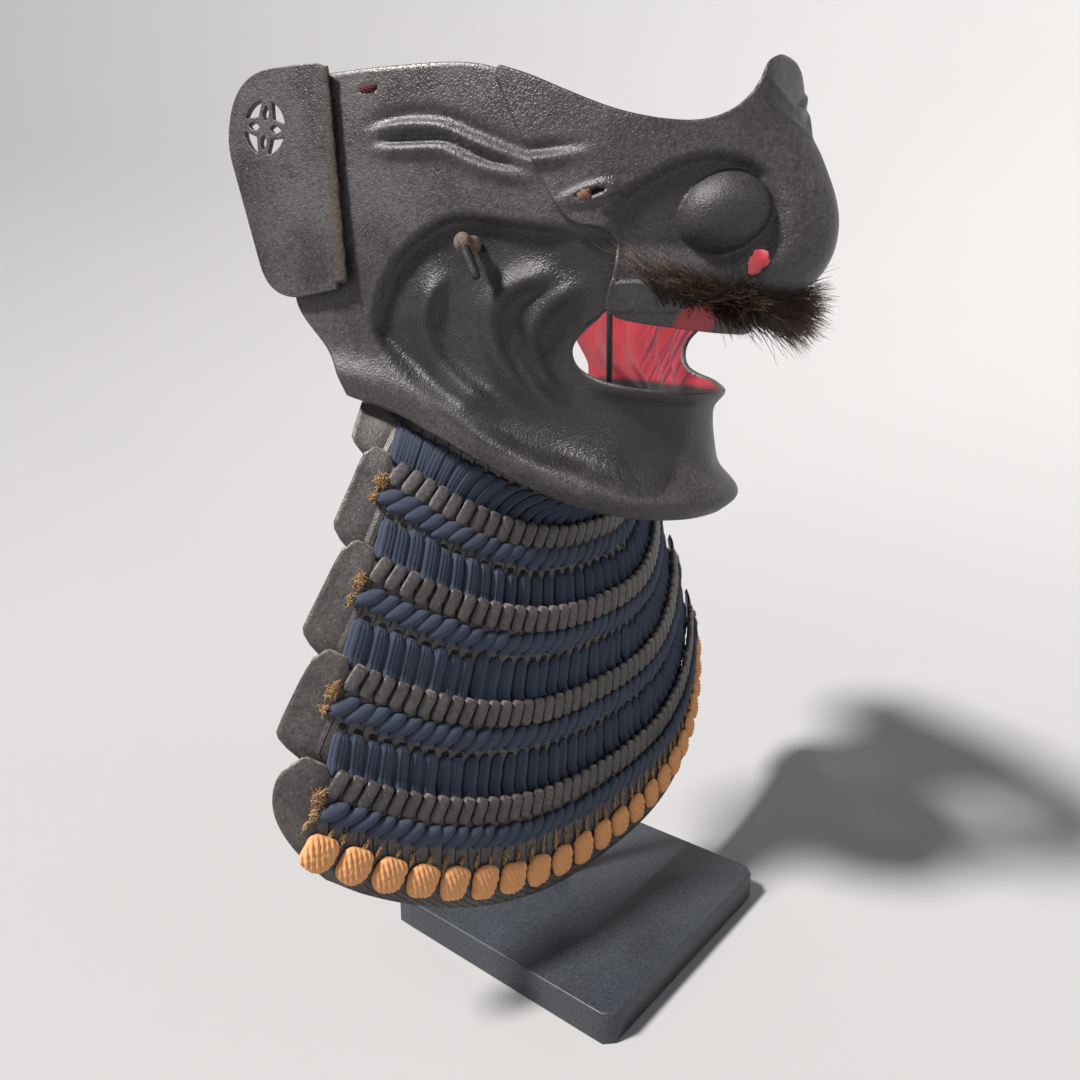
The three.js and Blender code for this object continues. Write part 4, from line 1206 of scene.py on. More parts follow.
class FACEGUARD_OT_ear_plates(bpy.types.Operator):
    """Build both ear plates with a pierced ring, and the rough roll where each joins the cheek"""

    bl_idname = "face_guard.ear_plates"
    bl_label = "Ear plates"

    def execute(self, context):
        wall = context.scene.face_guard_mask.wall / MM
        seam = made("seam_lacquer", lacquer_material, "seam_lacquer",
                    tuple(c * 0.55 for c in context.scene.face_guard_mask.seam),
                    context.scene.face_guard_mask.seam, (0.20, 0.16, 0.13), 0.0009, 0.00025, (0.7, 0.85))
        for side in (-1, 1):
            name = scene_object_name("ear_plate", side)
            mesh = flat_curve(name, [ear_outline(), *crest_outlines()], wall, 0.35)
            mesh.transform(Matrix.Translation((0, 0, wall / 2)))
            mesh.transform(ear_matrix(side))
            if side < 0:
                mesh.flip_normals()
            mesh.transform(Matrix.Scale(MM, 4))
            mesh.materials.clear()
            mesh.materials.append(lacquer())
            points = np.zeros(len(mesh.vertices) * 3, np.float32)
            mesh.vertices.foreach_get("co", points)
            layer = mesh.attributes.new("wear", "FLOAT", "POINT")
            layer.data.foreach_set("value", np.full(len(mesh.vertices), 0.2, np.float32))
            plate = bpy.data.objects.new(f"{name}_pierced", mesh)
            context.scene.collection.objects.link(plate)
            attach(plate, BODY)
            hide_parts(name)
            self.roll(side, wall, seam)
        return {"FINISHED"}

    def roll(self, side, wall, material):
        """A roll from the top of the plate's front edge to its foot, thicker and further forward as it goes
        down: points across are a half-round of that radius."""
        steps, sides = 60, 20
        down = np.linspace(0, 1, steps)
        jitter = 0.12 * np.sin(down * 61) + 0.10 * np.sin(down * 37 + 1)
        back = 0.6 - 2.3 * down
        up = (EAR_TOP + 0.3) * (1 - down) + 2.0 * down
        local = np.column_stack([back, up, np.full(steps, wall * 0.7)])
        matrix = np.array(ear_matrix(side))
        path = (local @ matrix[:3, :3].T + matrix[:3, 3])[None]
        radii = (1.5 + 0.9 * down + jitter)[None]
        points, faces, uv = tubes(path, radii, sides)
        outward = matrix[:3, 2]
        middle = np.repeat(path[0], sides, axis=0)
        high = (points - middle) @ outward
        points = points - np.outer(high * 0.62, outward)
        wear = np.full(len(points), 0.25)
        mesh_object(scene_object_name("ear_seam", side), points, faces, "lacquer", [material], None, uv,
                    {"wear": wear})


def beside(side, x, z, outward):
    """A point beside the face, mirrored to the side that is asked for."""
    point = on_face(np.array(-x), np.array(z), np.array(outward))
    return point * np.array([-side, 1, 1])


def twisted(start, end, radius, turns, strands=2):
    """Strands twisted round a straight line: a helix of half the radius for each."""
    t = np.linspace(0, 1, 40)
    axis = unit(end - start)
    across = unit(np.cross(axis, [0, 0, 1.0]))
    other = np.cross(axis, across)
    angle = 2 * math.pi * (turns * t[None] + np.arange(strands)[:, None] / strands)
    swell = 1 - 0.5 * np.abs(2 * t - 1) ** 4
    middle = start + (end - start) * t[:, None]
    ring = across * np.cos(angle)[..., None] + other * np.sin(angle)[..., None]
    paths = middle[None] + ring * (0.55 * radius * swell)[None, :, None]
    return paths, np.broadcast_to(0.6 * radius * swell, paths.shape[:2])


class FACEGUARD_OT_cord_pegs(bpy.types.Operator):
    """Build the bent cord pegs: an iron leg and a leather collar on its knee"""

    bl_idname = "face_guard.cord_pegs"
    bl_label = "Cord pegs"

    def execute(self, context):
        leather = made("peg_leather", lacquer_material, "peg_leather", (0.05, 0.034, 0.026),
                       (0.16, 0.11, 0.085), (0.30, 0.23, 0.18), 0.0009, 0.0003, (0.65, 0.85))
        for side in (-1, 1):
            surface = beside(side, PEG["x"], PEG["z"], 0.0)
            root = beside(side, PEG["x"], PEG["z"], -3.5)
            knee = surface + np.array([side * PEG["reach"], -0.6, 0.8])
            tip = knee + np.array([-side * 0.6, -5.0, -PEG["drop"]])
            t = np.linspace(0, 1, 24)[:, None]
            leg = (1 - t) ** 2 * knee + 2 * t * (1 - t) * (knee * 0.6 + tip * 0.4) + t * t * tip
            arm = root + (knee - root) * t
            name = scene_object_name("cord_peg", side)
            path = np.concatenate([arm[:-1], leg])
            thick = np.interp(t[:, 0], [0, 0.9, 1], [1.7, 1.35, 0.9])
            thick = np.concatenate([np.full(len(arm) - 1, PEG["radius"]), thick])
            iron_leg = tubes(path[None], thick[None], 14)
            # The leg is painted in shade all over, darker than the lacquer, standing in for the peg's shadow.
            mesh_object(f"{name}_leg", *iron_leg[:2], "peg", [lacquer()], None, iron_leg[2],
                        {"wear": np.full(len(iron_leg[0]), 0.25), "sunken": np.ones(len(iron_leg[0]))},
                        [name])
            wrap = surface - (knee - surface) * 0.1 + (knee - surface) * 1.35 * t
            bulge = 2.5 + 0.3 * np.sin(t[:, 0] * 9) - 1.5 * np.abs(2 * t[:, 0] - 1) ** 6
            collar = tubes(wrap[None], bulge[None], 18)
            mesh_object(f"{name}_collar", *collar[:2], "peg", [leather], None, collar[2],
                        {"wear": np.full(len(collar[0]), 0.35)})
        return {"FINISHED"}


class FACEGUARD_OT_ties(bpy.types.Operator):
    """Build the twisted cord in each rim slot and the knot in each slot of the nose piece"""

    bl_idname = "face_guard.ties"
    bl_label = "Ties"

    def execute(self, context):
        for side in (-1, 1):
            start = beside(side, RIM_TIE["x"] + 0.95, RIM_TIE["z"], -0.9)
            end = beside(side, RIM_TIE["x"] - 0.75, RIM_TIE["z"] + 0.2, -0.5)
            paths, radii = twisted(start, end, 1.3, 2.6)
            points, faces, uv = tubes(paths, radii, 12)
            name = scene_object_name("rim_tie", side)
            mesh_object(f"{name}_cord", points, faces, "tie_cord", [cord_red()], None, uv, None, [name])
            start = beside(side, NOSE_TIE["x"] + 1.5, NOSE_TIE["z"] - 0.9, NOSE_OFFSET - 0.9)
            end = beside(side, NOSE_TIE["x"] + 0.1, NOSE_TIE["z"] + 0.1, NOSE_OFFSET + 0.5)
            paths, radii = twisted(start, end, 1.55, 1.4)
            points, faces, uv = tubes(paths, radii, 12)
            name = scene_object_name("nose_tie", side)
            mesh_object(f"{name}_knot", points, faces, "tie_cord", [cord_brown()], None, uv, None, [name])
        return {"FINISHED"}


# ==== moustache ==================================================================================
MOUSTACHE = [
    (0, -76, 221, 5.8), (9, -75.5, 221.5, 6.5), (19, -71.5, 224, 6.4),
    (30, -61, 229.5, 5.2), (40, -48, 236, 3), (47, -39, 239.5, 1.2),
]
HAIR_STEPS = 6
SWEPT_SHARE = {-1: 0.11, 1: 0.08}
ROOT_REACH = {-1: 16, 1: 25}
BRUSH_LENGTH = {-1: 1.0, 1: 1.7}
BRUSH_FAN = {-1: 0.15, 1: 0.8}


def strands(start, middle, end, radius, steps, sides=3):
    """Hairs as thin tapering tubes along quadratic curves. Returns points, faces, UVs and the share of the
    way from root to tip at each point."""
    t = np.linspace(0, 1, steps)[None, :, None]
    paths = (1 - t) ** 2 * start[:, None] + 2 * t * (1 - t) * middle[:, None] + t * t * end[:, None]
    taper = radius * (1 - 0.8 * t[..., 0] ** 1.5) * np.ones((len(start), 1))
    points, faces, uv = tubes(paths, taper, sides)
    tip = np.repeat(np.broadcast_to(t[0, :, 0], (len(start), steps)).ravel(), sides)
    return points, faces, uv, tip


class FACEGUARD_OT_moustache(bpy.types.Operator):
    """Build the moustache as single hairs that leave the lip and fan out to each side"""

    bl_idname = "face_guard.moustache"
    bl_label = "Moustache"

    def execute(self, context):
        hair = context.scene.face_guard_hair
        material = made("horsehair", hair_material, hair.root, hair.tip)
        line = np.array(MOUSTACHE, float)
        axis = [curve(np.column_stack([np.linspace(0, 1, len(line)), line[:, k]])) for k in range(4)]
        for side, seed in ((-1, 11), (1, 12)):
            rng = np.random.default_rng(seed)
            count = hair.strands
            swept = rng.uniform(0, 1, count) < SWEPT_SHARE[side]
            swept_root = rng.uniform(-24, -6, count)
            reach_in = np.where(swept, swept_root, 2 - ROOT_REACH[side] * rng.beta(1.2, 1.2, count))
            root_x = reach_in * -side
            root_z = 227 + rng.normal(0, 1.5, count) - 0.08 * np.abs(root_x)
            start = on_face(root_x, root_z, np.full(count, NOSE_OFFSET - 0.6))
            run = rng.beta(1.3, 2.2, count)
            q = np.interp(np.abs(root_x), [0, 9, 19, 30], [0, 0.2, 0.4, 0.6]) + 0.12 + 0.58 * run
            q = np.clip(q, 0, 1.02)
            angle = rng.uniform(0, 2 * math.pi, count)
            spread = np.sqrt(rng.uniform(0, 1, count))
            centre = np.stack([axis[0](q) * side, axis[1](q), axis[2](q) + 0.5], -1)
            swell = (6.2 - 2.2 * q) * spread * (1 + 0.3 * run)
            tip_swept = centre + swell[:, None] * np.stack(
                [0.4 * np.cos(angle) * side, 0.7 * np.cos(angle), np.sin(angle)], -1)
            ox, oy = face_out(root_x, root_z)
            length = rng.uniform(5.5, 12.5, count) * BRUSH_LENGTH[side]
            fan = rng.normal(0, 0.5, count) + BRUSH_FAN[side]
            rise = rng.normal(-0.30, 0.45, count)
            way = unit(np.stack([ox * 0.75 + fan, oy, rise], -1))
            tip_brush = start + way * length[:, None]
            end = np.where(swept[:, None], tip_swept, tip_brush)
            bow = np.where(swept, 2.6, 0.9)
            middle = (start + end) / 2 + np.stack([ox * bow, oy * bow, 0.6 + 0 * bow], -1)
            end += rng.normal(0, 0.7, (count, 3))
            middle += rng.normal(0, 0.5, (count, 3))
            points, faces, uv, tip = strands(start, middle, end, hair.thickness / MM, HAIR_STEPS)
            name = scene_object_name("moustache_hair", side)
            replaces = ["moustache"] if side < 0 else []
            far = np.repeat(np.linalg.norm(end - start, axis=1) / 26, len(points) // count)
            mesh_object(name, points, faces, "hair", [material], None, uv,
                        {"tip": np.clip(tip * (0.2 + 0.9 * far), 0, 1)}, replaces)
        return {"FINISHED"}


# ==== the throat guard ===========================================================================
def head_shape(width, height):
    """A scale head: a rounded upright tab with a domed face, fuller at the top."""
    plan = superellipse(24, width / 2, height / 2, 4.2)
    plan[:, 0] *= 1 + 0.08 * plan[:, 1] / (height / 2)
    heights = [(0.97, -0.5), (1.0, 0.2), (0.97, 0.75), (0.88, 1.1), (0.66, 1.32), (0.3, 1.4)]
    points, faces = pillow(24, plan, heights)
    points[:, 2] *= 1 + 0.25 * points[:, 1] / (height / 2)
    return points, faces


class FACEGUARD_OT_lames(bpy.types.Operator):
    """Build the five lames: a curved iron wall with blank ends and a row of scale heads along its top"""

    bl_idname = "face_guard.lames"
    bl_label = "Lames"
    columns, rows = 181, 23

    def execute(self, context):
        throat = context.scene.face_guard_throat
        for lame in range(LAME_COUNT):
            grid, place, level, edge = lame_grid(lame, self.columns, self.rows)
            keep = np.ones((self.rows - 1, self.columns - 1), bool)
            wear = edge * 0.85
            points, faces, _ = walled(grid, keep, throat.wall / MM)
            arc = np.concatenate([np.zeros((self.rows, 1)), np.cumsum(
                np.linalg.norm(np.diff(grid, axis=1), axis=2), axis=1)], 1)
            across = np.where(np.abs(place) < LACED_SHARE, arc / (throat.pitch / MM), 0.3)
            flat = np.stack([across, level], -1).reshape(-1, 2)
            rim_count = len(points) - 2 * len(flat)
            uv_points = np.concatenate([flat, flat, np.zeros((rim_count, 2))])
            mesh_object(f"lame_{lame}_plate", points, [faces], "lames", [lame_iron()], None,
                        corner_uv([faces], uv_points), {"wear": with_edges(points, wear, 0.45)},
                        [f"lame_{lame}"])
            if lame:
                self.heads(lame, throat)
            self.holes(lame, throat)
        return {"FINISHED"}

    def heads(self, lame, throat):
        """Scale heads evenly along the top edge, each turned a little about its own upright so that it
        overlaps the next, and leaning towards the wearer's left."""
        rng = np.random.default_rng(30 + lame)
        level = lame + HEAD_LEVEL
        s = even_places(level, throat.pitch / MM, LACED_SHARE)
        along, up, out = bib_axes(s, level)
        lean = 0.13 + rng.normal(0, 0.02, len(s))[:, None]
        tall = unit(up + along * lean)
        roll = 0.12
        face = unit(out - along * roll)
        across = unit(np.cross(tall, face))
        centres = lame_point(lame, s, level, 0.2 + rng.normal(0, 0.08, len(s)))
        shape, faces = head_shape(throat.head_width / MM, throat.head_height / MM)
        points, faces = placed(shape, faces, centres, across, tall, face)
        high = shape[:, 1] / (throat.head_height / MM / 2)
        wear = np.tile(bell(high - 0.93, 0.16) * (shape[:, 2] > 0) * 0.78, len(s))
        wear = wear * np.repeat(rng.uniform(0.6, 1.05, len(s)), len(shape))
        uv = corner_uv(faces, np.tile(shape[:, :2] / 10, (len(s), 1)))
        mesh_object(f"lame_{lame}_heads", points, faces, "lames", [iron()], None, uv, {"wear": wear})

    def holes(self, lame, throat):
        """Dark discs of painted shade where the lacing holes are, which show as small black crescents over
        the tops of the laces; they do not go through.
        """
        if lame == LAME_COUNT - 1:
            return
        level = lame + (HOLE_LEVEL if lame else TOP_HOLE_LEVEL)
        s = even_places(lame + HEAD_LEVEL, throat.pitch / MM, LACED_SHARE)
        along, up, out = bib_axes(s, level)
        plan = superellipse(12, 1.35, 1.15, 2)
        shape, faces = pillow(12, plan, [(1.0, -0.4), (1.0, 0.05), (0.9, 0.12)])
        points, faces = placed(shape, faces, lame_point(lame, s, level, 0.0 * s), along, up, out)
        uv = corner_uv(faces, np.tile(shape[:, :2], (len(s), 1)))
        mesh_object(f"lame_{lame}_holes", points, faces, "lames", [shadowed()], None, uv,
                    {"wear": np.zeros(len(points))})


class FACEGUARD_OT_braids(bpy.types.Operator):
    """Build the slanted silk braid across each lame, one leaf-shaped turn to each scale head"""

    bl_idname = "face_guard.braids"
    bl_label = "Braids"

    def execute(self, context):
        pitch = context.scene.face_guard_throat.pitch / MM
        for lame in range(1, LAME_COUNT):
            rng = np.random.default_rng(50 + lame)
            level = lame + BRAID_LEVEL
            s = even_places(level, pitch * (1 + 0.02 * lame), LACED_SHARE + 0.01)
            along, up, out = bib_axes(s, level)
            angle = 0.80 + rng.normal(0, 0.05, len(s))[:, None]
            long_way = along * np.cos(angle) + up * np.sin(angle)
            tilt = 0.12
            long_way = unit(long_way + out * tilt)
            short_way = unit(np.cross(out, long_way))
            face = unit(np.cross(long_way, short_way))
            centres = lame_point(lame, s, level + rng.normal(0, 0.006, len(s)), 0.45 + 0 * s)
            plan = superellipse(22, 5.3, 2.5, 1.7)
            heights = [(0.9, -0.6), (1.0, 0.15), (0.96, 0.8), (0.82, 1.4), (0.55, 1.85), (0.25, 2.0)]
            shape, faces = pillow(22, plan, heights)
            scale = 1 + rng.normal(0, 0.05, (len(s), 1, 3))
            points, faces = placed(shape[None] * scale, faces, centres, long_way, short_way, face)
            values = np.column_stack([shape[:, 1] / 6.0, shape[:, 0] / 9.8])
            uv = corner_uv(faces, np.tile(values, (len(s), 1)))
            mesh_object(f"braid_{lame}_silk", points, faces, "navy_silk", [navy_silk()], None, uv, None,
                        [f"braid_{lame}"])
        return {"FINISHED"}


class FACEGUARD_OT_lacing(bpy.types.Operator):
    """Build the upright laces between the lames: ribbed flat cords with rounded tops"""

    bl_idname = "face_guard.lacing"
    bl_label = "Lacing"
    across, steps, ribs = 31, 11, 4.5

    def execute(self, context):
        pitch = context.scene.face_guard_throat.pitch / MM
        for lame in range(LAME_COUNT - 1):
            start = lame + (LACE_START if lame else TOP_LACE_START)
            self.laces(lame, start, lame + LACE_END, pitch)
        return {"FINISHED"}

    def laces(self, lame, start, end, pitch):
        """Each lace is a closed band: q runs across it and p down it. It stands off the lame by a flattened
        half-round plus cosine ribs, its width and height close in a quarter-round at the top, and its foot
        fills the space behind the next lame."""
        rng = np.random.default_rng(70 + lame)
        middle = even_places(lame + HEAD_LEVEL, pitch, LACED_SHARE)
        count = len(middle)
        width = (middle[-1] - middle[0]) / (count - 1) * 0.5
        ring = np.linspace(0, 2 * math.pi, self.across, endpoint=False)
        q, under = np.cos(ring), np.sin(ring) < 0
        p = np.linspace(0, 1, self.steps)
        top = np.sqrt(np.clip(1 - (1 - np.clip(p / 0.22, 0, 1)) ** 2, 0, 1))
        size = rng.uniform(0.88, 1.12, (count, 1, 1))
        shift = rng.normal(0, 0.13, (count, 1, 1)) * width
        sway = rng.normal(0, 0.16, (count, 1, 1)) * width
        half = width * (0.55 + 0.45 * top)[None, :, None] * size
        s = middle[:, None, None] + shift + sway * p[None, :, None] ** 1.5 + half * q[None, None]
        begin = start + rng.normal(0, 0.018, (count, 1, 1))
        level = begin + (end - begin) * p[None, :, None] + 0 * q[None, None]
        dome = 1.85 * np.clip(1 - np.abs(q) ** 3.2, 0, 1) + 0.36 * np.cos(2 * math.pi * self.ribs * q / 2)
        rise = np.where(under, 0.0, dome)[None, None] * (0.35 + 0.65 * top)[None, :, None]
        bulk = rng.uniform(0.85, 1.15, (count, 1, 1))
        tucked = np.where(under, 0.0, 1.3)[None, None] * smooth((level - lame - 0.93) / 0.1)
        lift = 0.3 + rise * bulk + tucked
        grid = lame_point(lame, s, level, lift)
        points, faces, uv = self.closed(grid, q)
        mesh_object(f"lacing_{lame}_silk", points, faces, "navy_silk", [navy_silk()], None, uv, None,
                    [f"lacing_{lame}"])

    def closed(self, grid, q):
        """Joins the rings of each lace, and caps its two ends."""
        count, steps, sides = grid.shape[:3]
        n, i, k = np.meshgrid(np.arange(count), np.arange(steps - 1), np.arange(sides), indexing="ij")
        base, turn = (n * steps + i) * sides, (k + 1) % sides
        quads = np.stack([base + k, base + k + sides, base + turn + sides, base + turn], -1).reshape(-1, 4)
        fan = np.arange(1, sides - 1)
        ends = np.arange(count)[:, None, None] * steps * sides
        first = np.stack([np.zeros_like(fan), fan, fan + 1], -1)
        last = (steps - 1) * sides + np.stack([np.zeros_like(fan), fan + 1, fan], -1)
        caps = np.concatenate([ends + first, ends + last], 1).reshape(-1, 3)
        way = 3 * np.linspace(0, 1, steps)[None, :, None]
        value = np.stack(np.broadcast_arrays(0.5 * q[None, None], way), -1)
        value = np.broadcast_to(value, (count, steps, sides, 2)).reshape(-1, 2)
        return grid.reshape(-1, 3), [quads, caps], corner_uv([quads, caps], value)


def pad_places():
    """Places s of the pads: evenly spaced in millimetres along the pads' level."""
    s = np.linspace(-1, 1, 2000)
    steps = np.linalg.norm(np.diff(bib_point(s, PAD_LEVEL), axis=0), axis=1)
    length = np.concatenate([[0], np.cumsum(steps)])
    pitch = length[-1] / (PAD_COUNT + 0.5)
    wanted = length[-1] / 2 + (np.arange(PAD_COUNT) - (PAD_COUNT - 1) / 2) * pitch
    return np.interp(wanted, length, s)


class FACEGUARD_OT_pads(bpy.types.Operator):
    """Build the stuffed orange silk pads along the hem, with slanting twill ribs"""

    bl_idname = "face_guard.pads"
    bl_label = "Silk pads"
    cells = 36

    def execute(self, context):
        pads = context.scene.face_guard_pads
        rng = np.random.default_rng(90)
        places = pad_places()
        along, up, out = bib_axes(places, PAD_LEVEL)
        centres = bib_point(places, PAD_LEVEL)
        rings, sides = self.cells // 2, self.cells * 2
        for k in range(PAD_COUNT):
            power = rng.uniform(2.6, 3.4)
            plan = superellipse(sides, pads.width / MM / 2, pads.height / MM / 2, power)
            plan *= rng.uniform(0.95, 1.05, 2)
            plan[:, 0] *= 1 + 0.06 * plan[:, 1] / 5
            wave = np.arange(sides) * 2 * math.pi * 5 / sides + rng.uniform(0, 6)
            plan *= 1 + 0.025 * np.sin(wave)[:, None]
            share = np.linspace(0, 1, rings)
            around = np.cos(share * math.pi / 2) ** 0.75
            around[-1] = 0.03
            dome = np.sin(share * math.pi / 2) ** 0.8
            heights = [(0.9, 0.0), *zip(around, 0.35 + dome * (pads.thickness / MM - 0.1))]
            shape, faces = pillow(sides, plan, heights)
            rib = np.cos((shape[:, 0] * 0.86 + shape[:, 1] * 0.5 + rng.uniform(0, 1)) * 2 * math.pi / 1.5)
            bulk = smooth(shape[:, 2] / 1.2)
            lumps = 0.12 * np.sin(shape[:, 0] * 1.9 + k) * np.cos(shape[:, 1] * 2.3 + 2 * k)
            shape[:, 2] += bulk * (0.24 * np.sign(rib) * np.abs(rib) ** 0.7 + lumps)
            points, faces = placed(shape, faces, centres[k : k + 1], along[k : k + 1], up[k : k + 1],
                                   out[k : k + 1])
            points = points + out[k] * 0.35
            value = np.column_stack([(shape[:, 0] * 0.86 + shape[:, 1] * 0.5) / 12, shape[:, 1] / 10])
            name = f"pad_{k + 1:02d}"
            piece = mesh_object(f"{name}_silk", points, faces, "orange_silk", [orange_silk()], None,
                                corner_uv(faces, value), None, [name])
        return {"FINISHED"}


def tufts(rng, centres, along, up, out, count, size, curl):
    """Frayed silk: from each centre, short curled strands that reach by size (along, up, out)."""
    n = len(centres) * count
    centre = np.repeat(centres, count, axis=0)
    axes = [np.repeat(a, count, axis=0) for a in (along, up, out)]
    start_offset, end_offset = rng.normal(0, 0.33, (n, 3)), rng.normal(0, 0.62, (n, 3))
    end_offset[:, 2] = np.abs(end_offset[:, 2])

    def move(offset):
        return centre + sum(offset[:, k : k + 1] * size[k] * axes[k] for k in range(3))

    start, end = move(start_offset), move(end_offset)
    middle = (start + end) / 2 + rng.normal(0, curl, (n, 3))
    return start, middle, end


class FACEGUARD_OT_frayed_silk(bpy.types.Operator):
    """Build the frayed silk: tan ends over the pads and at the ends of the lames, and the navy knot"""

    bl_idname = "face_guard.frayed_silk"
    bl_label = "Frayed silk"

    def execute(self, context):
        rng = np.random.default_rng(123)
        sets = []
        places = pad_places()
        gap = (places[1] - places[0]) * 0.31
        s = np.concatenate([places - gap, places + gap])
        level = 4.655 + rng.normal(0, 0.015, len(s))
        along, up, out = bib_axes(s, level)
        centres = lame_point(4, s, level, 0.5 + 0 * s)
        sets.append(tufts(rng, centres, along, up, out, 22, (0.8, 3.4, 0.6), 0.5))
        for lame in range(1, LAME_COUNT):
            for side in (-1, 1):
                for drop, wide, count in ((0.31, 1.9, 190), (0.50, 1.35, 70)):
                    s = np.array([side * (LACED_SHARE + (0.022 if drop < 0.4 else 0.03))])
                    level = np.array([lame + drop])
                    along, up, out = bib_axes(s, level)
                    centres = lame_point(lame, s, level, np.array([0.7]))
                    sets.append(tufts(rng, centres, along, up, out, count, (wide, wide * 1.25, 1.1), 0.8))
        start, middle, end = (np.concatenate(group) for group in zip(*sets))
        points, faces, uv, _ = strands(start, middle, end, 0.26, 6)
        mesh_object("frayed_ends", points, faces, "orange_silk", [frayed_silk()], None, uv)
        self.navy_knots(rng)
        return {"FINISHED"}

    def navy_knots(self, rng):
        """A frayed knot at both ends of the top lame."""
        sets = []
        for side in (-1, 1):
            s, level = np.array([side * 0.93]), np.array([0.30])
            along, up, out = bib_axes(s, level)
            centres = lame_point(0, s, level, np.array([1.2]))
            sets.append(tufts(rng, centres, along, up, out, 420, (2.7, 2.6, 1.8), 0.8))
        start, middle, end = (np.concatenate(group) for group in zip(*sets))
        points, faces, uv, _ = strands(start, middle, end, 0.2, 6)
        mesh_object("navy_knots", points, faces, "navy_silk", [navy_silk()], None, uv)


# ==== the stand ==================================================================================
class FACEGUARD_OT_stand(bpy.types.Operator):
    """Build the square base with rounded edges, and finish the post"""

    bl_idname = "face_guard.stand"
    bl_label = "Stand"

    def execute(self, context):
        stand = context.scene.face_guard_stand
        dark = tuple(c * 0.75 for c in stand.colour)
        paint = made("stand_paint", lacquer_material, "stand_paint", dark, stand.colour, (0.10, 0.11, 0.12),
                     0.0004, 0.00003, (0.42, 0.55))
        low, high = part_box("base_plate")
        bevel = stand.bevel / MM
        low, high = np.array(low) / MM, np.array(high) / MM
        centre, half = (low + high) / 2, (high - low) / 2
        plan = superellipse(96, half[0], half[1], 40)
        turn = np.linspace(0, math.pi / 2, 5)
        ring = [(1 - (1 - math.sin(a)) * bevel / half[0], half[2] - (1 - math.cos(a)) * bevel) for a in turn]
        heights = [(scale, -rise) for scale, rise in ring] + [(scale, rise) for scale, rise in ring[::-1]]
        shape, faces = pillow(96, plan, heights)
        points = shape + centre
        edge = np.clip(1 - (half[2] - np.abs(shape[:, 2])) / bevel, 0, 1)
        rim = (np.maximum(np.abs(shape[:, 0]) / half[0], np.abs(shape[:, 1]) / half[1]) > 0.98) * 0.45
        piece = mesh_object("base_plate_painted", points, faces, "stand", [paint], None,
                            corner_uv(faces, shape[:, :2] / 100), {"wear": edge * rim}, ["base_plate"])
        piece.data.polygons.foreach_set("use_smooth", np.ones(len(piece.data.polygons), bool))
        self.post(paint)
        return {"FINISHED"}

    def post(self, paint):
        """The post as one round rod through a few points, smoothed, as thick as the CAD post."""
        low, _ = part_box("stand_post")
        foot = low.z / MM
        path = np.array([
            (0, 8, foot), (0, 8, 100), (0, 8, 150), (0, 8, 166), (0, 4, 178), (0, -6, 188), (0, -10, 196),
            (0, -10, 225), (0, -10, 248), (0, -13, 258), (0, -24, 264), (0, -42, 265.5), (0, -58, 266),
        ], float)
        share = np.linspace(0, 1, len(path))
        fine = np.linspace(0, 1, 90)
        smooth_path = np.stack([curve(np.column_stack([share, path[:, k]]))(fine) for k in range(3)], -1)
        radius = np.interp(fine, [0, 0.26, 0.5, 1], [3.0, 3.0, 1.05, 1.0])
        points, faces, uv = tubes(smooth_path[None], radius[None], 20)
        mesh_object("stand_post_painted", points, faces, "stand", [paint], None, uv,
                    {"wear": np.zeros(len(points))}, ["stand_post"])


# ==== the stage ==================================================================================
CAMERA_PLACE = (-0.238, -0.1755, 0.2175)
CAMERA_AHEAD = (0.774, 0.633)
CAMERA_PITCH = math.radians(13.4)
CAMERA_LENS = 28.733
KEY_FROM = (-0.57, 0.26, 0.78)


def aim(thing, target):
    """Turns a camera or light so that it looks at a point."""
    thing.rotation_euler = (Vector(target) - thing.location).to_track_quat("-Z", "Y").to_euler()


def distant_light(name, towards, strength, softness, colour):
    """A light far away in a direction, seen from the object."""
    data = bpy.data.lights.new(name, "SUN")
    data.energy = strength
    data.angle = softness
    data.color = colour
    light = bpy.data.objects.new(name, data)
    bpy.context.scene.collection.objects.link(light)
    light.location = towards
    aim(light, (0, 0, 0))
    return light


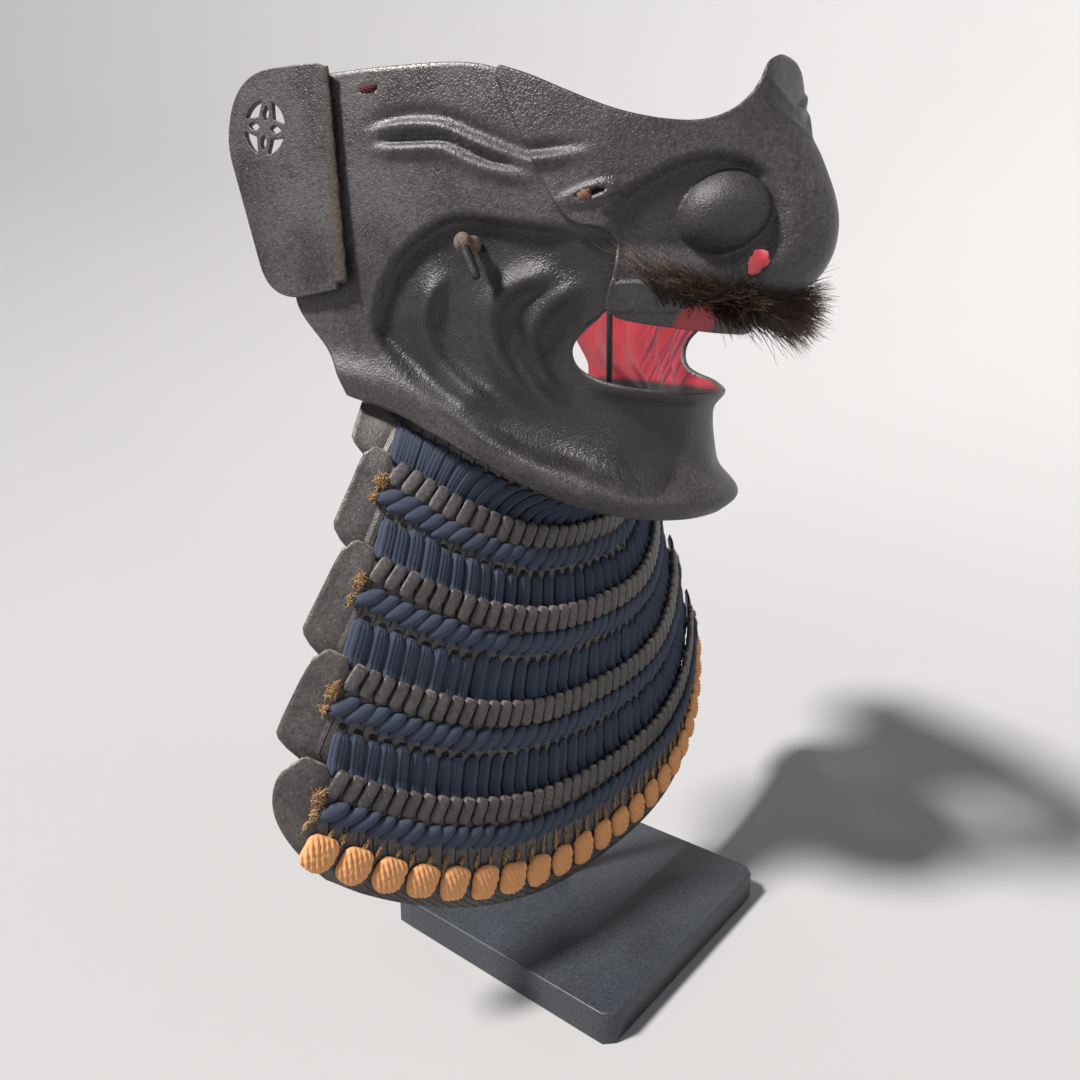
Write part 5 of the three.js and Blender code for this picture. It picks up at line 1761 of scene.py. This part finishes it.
class FACEGUARD_OT_stage(bpy.types.Operator):
    """Set the camera, the soft lights and a pale floor that sweeps up all round"""

    bl_idname = "face_guard.stage"
    bl_label = "Stage"

    def execute(self, context):
        stage = context.scene.face_guard_stage
        data = bpy.data.cameras.new("camera")
        data.lens = CAMERA_LENS
        data.sensor_width = 36.0
        data.clip_start = 0.01
        camera = bpy.data.objects.new("camera", data)
        context.scene.collection.objects.link(camera)
        camera.location = CAMERA_PLACE
        yaw = -math.atan2(CAMERA_AHEAD[0], CAMERA_AHEAD[1])
        camera.rotation_euler = (math.pi / 2 - CAMERA_PITCH, 0, yaw)
        context.scene.camera = camera
        distant_light("key_light", KEY_FROM, stage.key, stage.softness, (1.0, 0.965, 0.93))
        world = bpy.data.worlds.new("surroundings")
        world.use_nodes = True
        world.node_tree.nodes["Background"].inputs["Color"].default_value = (0.74, 0.84, 1.0, 1)
        world.node_tree.nodes["Background"].inputs["Strength"].default_value = stage.world
        context.scene.world = world
        context.scene.view_settings.view_transform = "Standard"
        self.sweep(stage)
        return {"FINISHED"}

    def sweep(self, stage):
        """A round floor whose edge bends up into a wall: a profile of radius and height turned about the
        upright axis."""
        turn = np.linspace(0, math.radians(48), 12)
        inner, bend, wall = 450.0, 1700.0, 3200.0
        radius = np.concatenate([[1.0, inner * 0.5], inner + bend * np.sin(turn)])
        height = np.concatenate([[0.0, 0.0], bend * (1 - np.cos(turn))])
        radius = np.append(radius, radius[-1] + wall * math.cos(turn[-1]))
        height = np.append(height, height[-1] + wall * math.sin(turn[-1]))
        sides = 64
        angle = 2 * math.pi * np.arange(sides) / sides
        grid = np.stack([radius[:, None] * np.cos(angle), radius[:, None] * np.sin(angle),
                         height[:, None] + 0 * angle], -1)
        rows = len(radius)
        i, k = np.meshgrid(np.arange(rows - 1), np.arange(sides), indexing="ij")
        base, nxt = i * sides, (k + 1) % sides
        quads = np.stack([base + k, base + sides + k, base + sides + nxt, base + nxt], -1).reshape(-1, 4)
        mesh = bpy.data.meshes.new("floor_sweep")
        points = np.concatenate([grid.reshape(-1, 3), [[0, 0, 0]]]) * MM
        fan = np.arange(sides)
        middle = np.column_stack([fan, (fan + 1) % sides, np.full(sides, rows * sides)])
        mesh.from_pydata(points.tolist(), [], quads.tolist() + middle.tolist())
        mesh.materials.append(made("pale_floor", floor_material, stage.floor))
        mesh.polygons.foreach_set("use_smooth", np.ones(len(mesh.polygons), bool))
        floor = bpy.data.objects.new("floor_sweep", mesh)
        bpy.context.scene.collection.objects.link(floor)


# ==== the add-on =================================================================================
PROPERTIES = {
    "face_guard_mask": FaceGuardMask,
    "face_guard_throat": FaceGuardThroat,
    "face_guard_pads": FaceGuardPads,
    "face_guard_hair": FaceGuardHair,
    "face_guard_stand": FaceGuardStand,
    "face_guard_stage": FaceGuardStage,
}
OPERATORS = (
    FACEGUARD_OT_stage,
    FACEGUARD_OT_mask_shell,
    FACEGUARD_OT_nose_piece,
    FACEGUARD_OT_ear_plates,
    FACEGUARD_OT_cord_pegs,
    FACEGUARD_OT_ties,
    FACEGUARD_OT_moustache,
    FACEGUARD_OT_lames,
    FACEGUARD_OT_braids,
    FACEGUARD_OT_lacing,
    FACEGUARD_OT_pads,
    FACEGUARD_OT_frayed_silk,
    FACEGUARD_OT_stand,
)


class FACEGUARD_PT_panel(bpy.types.Panel):
    bl_idname = "FACEGUARD_PT_panel"
    bl_label = "Face guard"
    bl_space_type = "VIEW_3D"
    bl_region_type = "UI"
    bl_category = "Face guard"

    def draw(self, context):
        for key in PROPERTIES:
            box = self.layout.box()
            values = getattr(context.scene, key)
            for name in values.__annotations__:
                box.prop(values, name)
        for operator in OPERATORS:
            self.layout.operator(operator.bl_idname)


def register():
    for cls in (*PROPERTIES.values(), *OPERATORS, FACEGUARD_PT_panel):
        bpy.utils.register_class(cls)
    for key, cls in PROPERTIES.items():
        setattr(bpy.types.Scene, key, PointerProperty(type=cls))


def unregister():
    for key in PROPERTIES:
        delattr(bpy.types.Scene, key)
    for cls in (FACEGUARD_PT_panel, *reversed(OPERATORS), *reversed(PROPERTIES.values())):
        bpy.utils.unregister_class(cls)


def main():
    register()
    for operator in OPERATORS:
        group, name = operator.bl_idname.split(".")
        getattr(getattr(bpy.ops, group), name)()


if __name__ == "__main__":
    main()
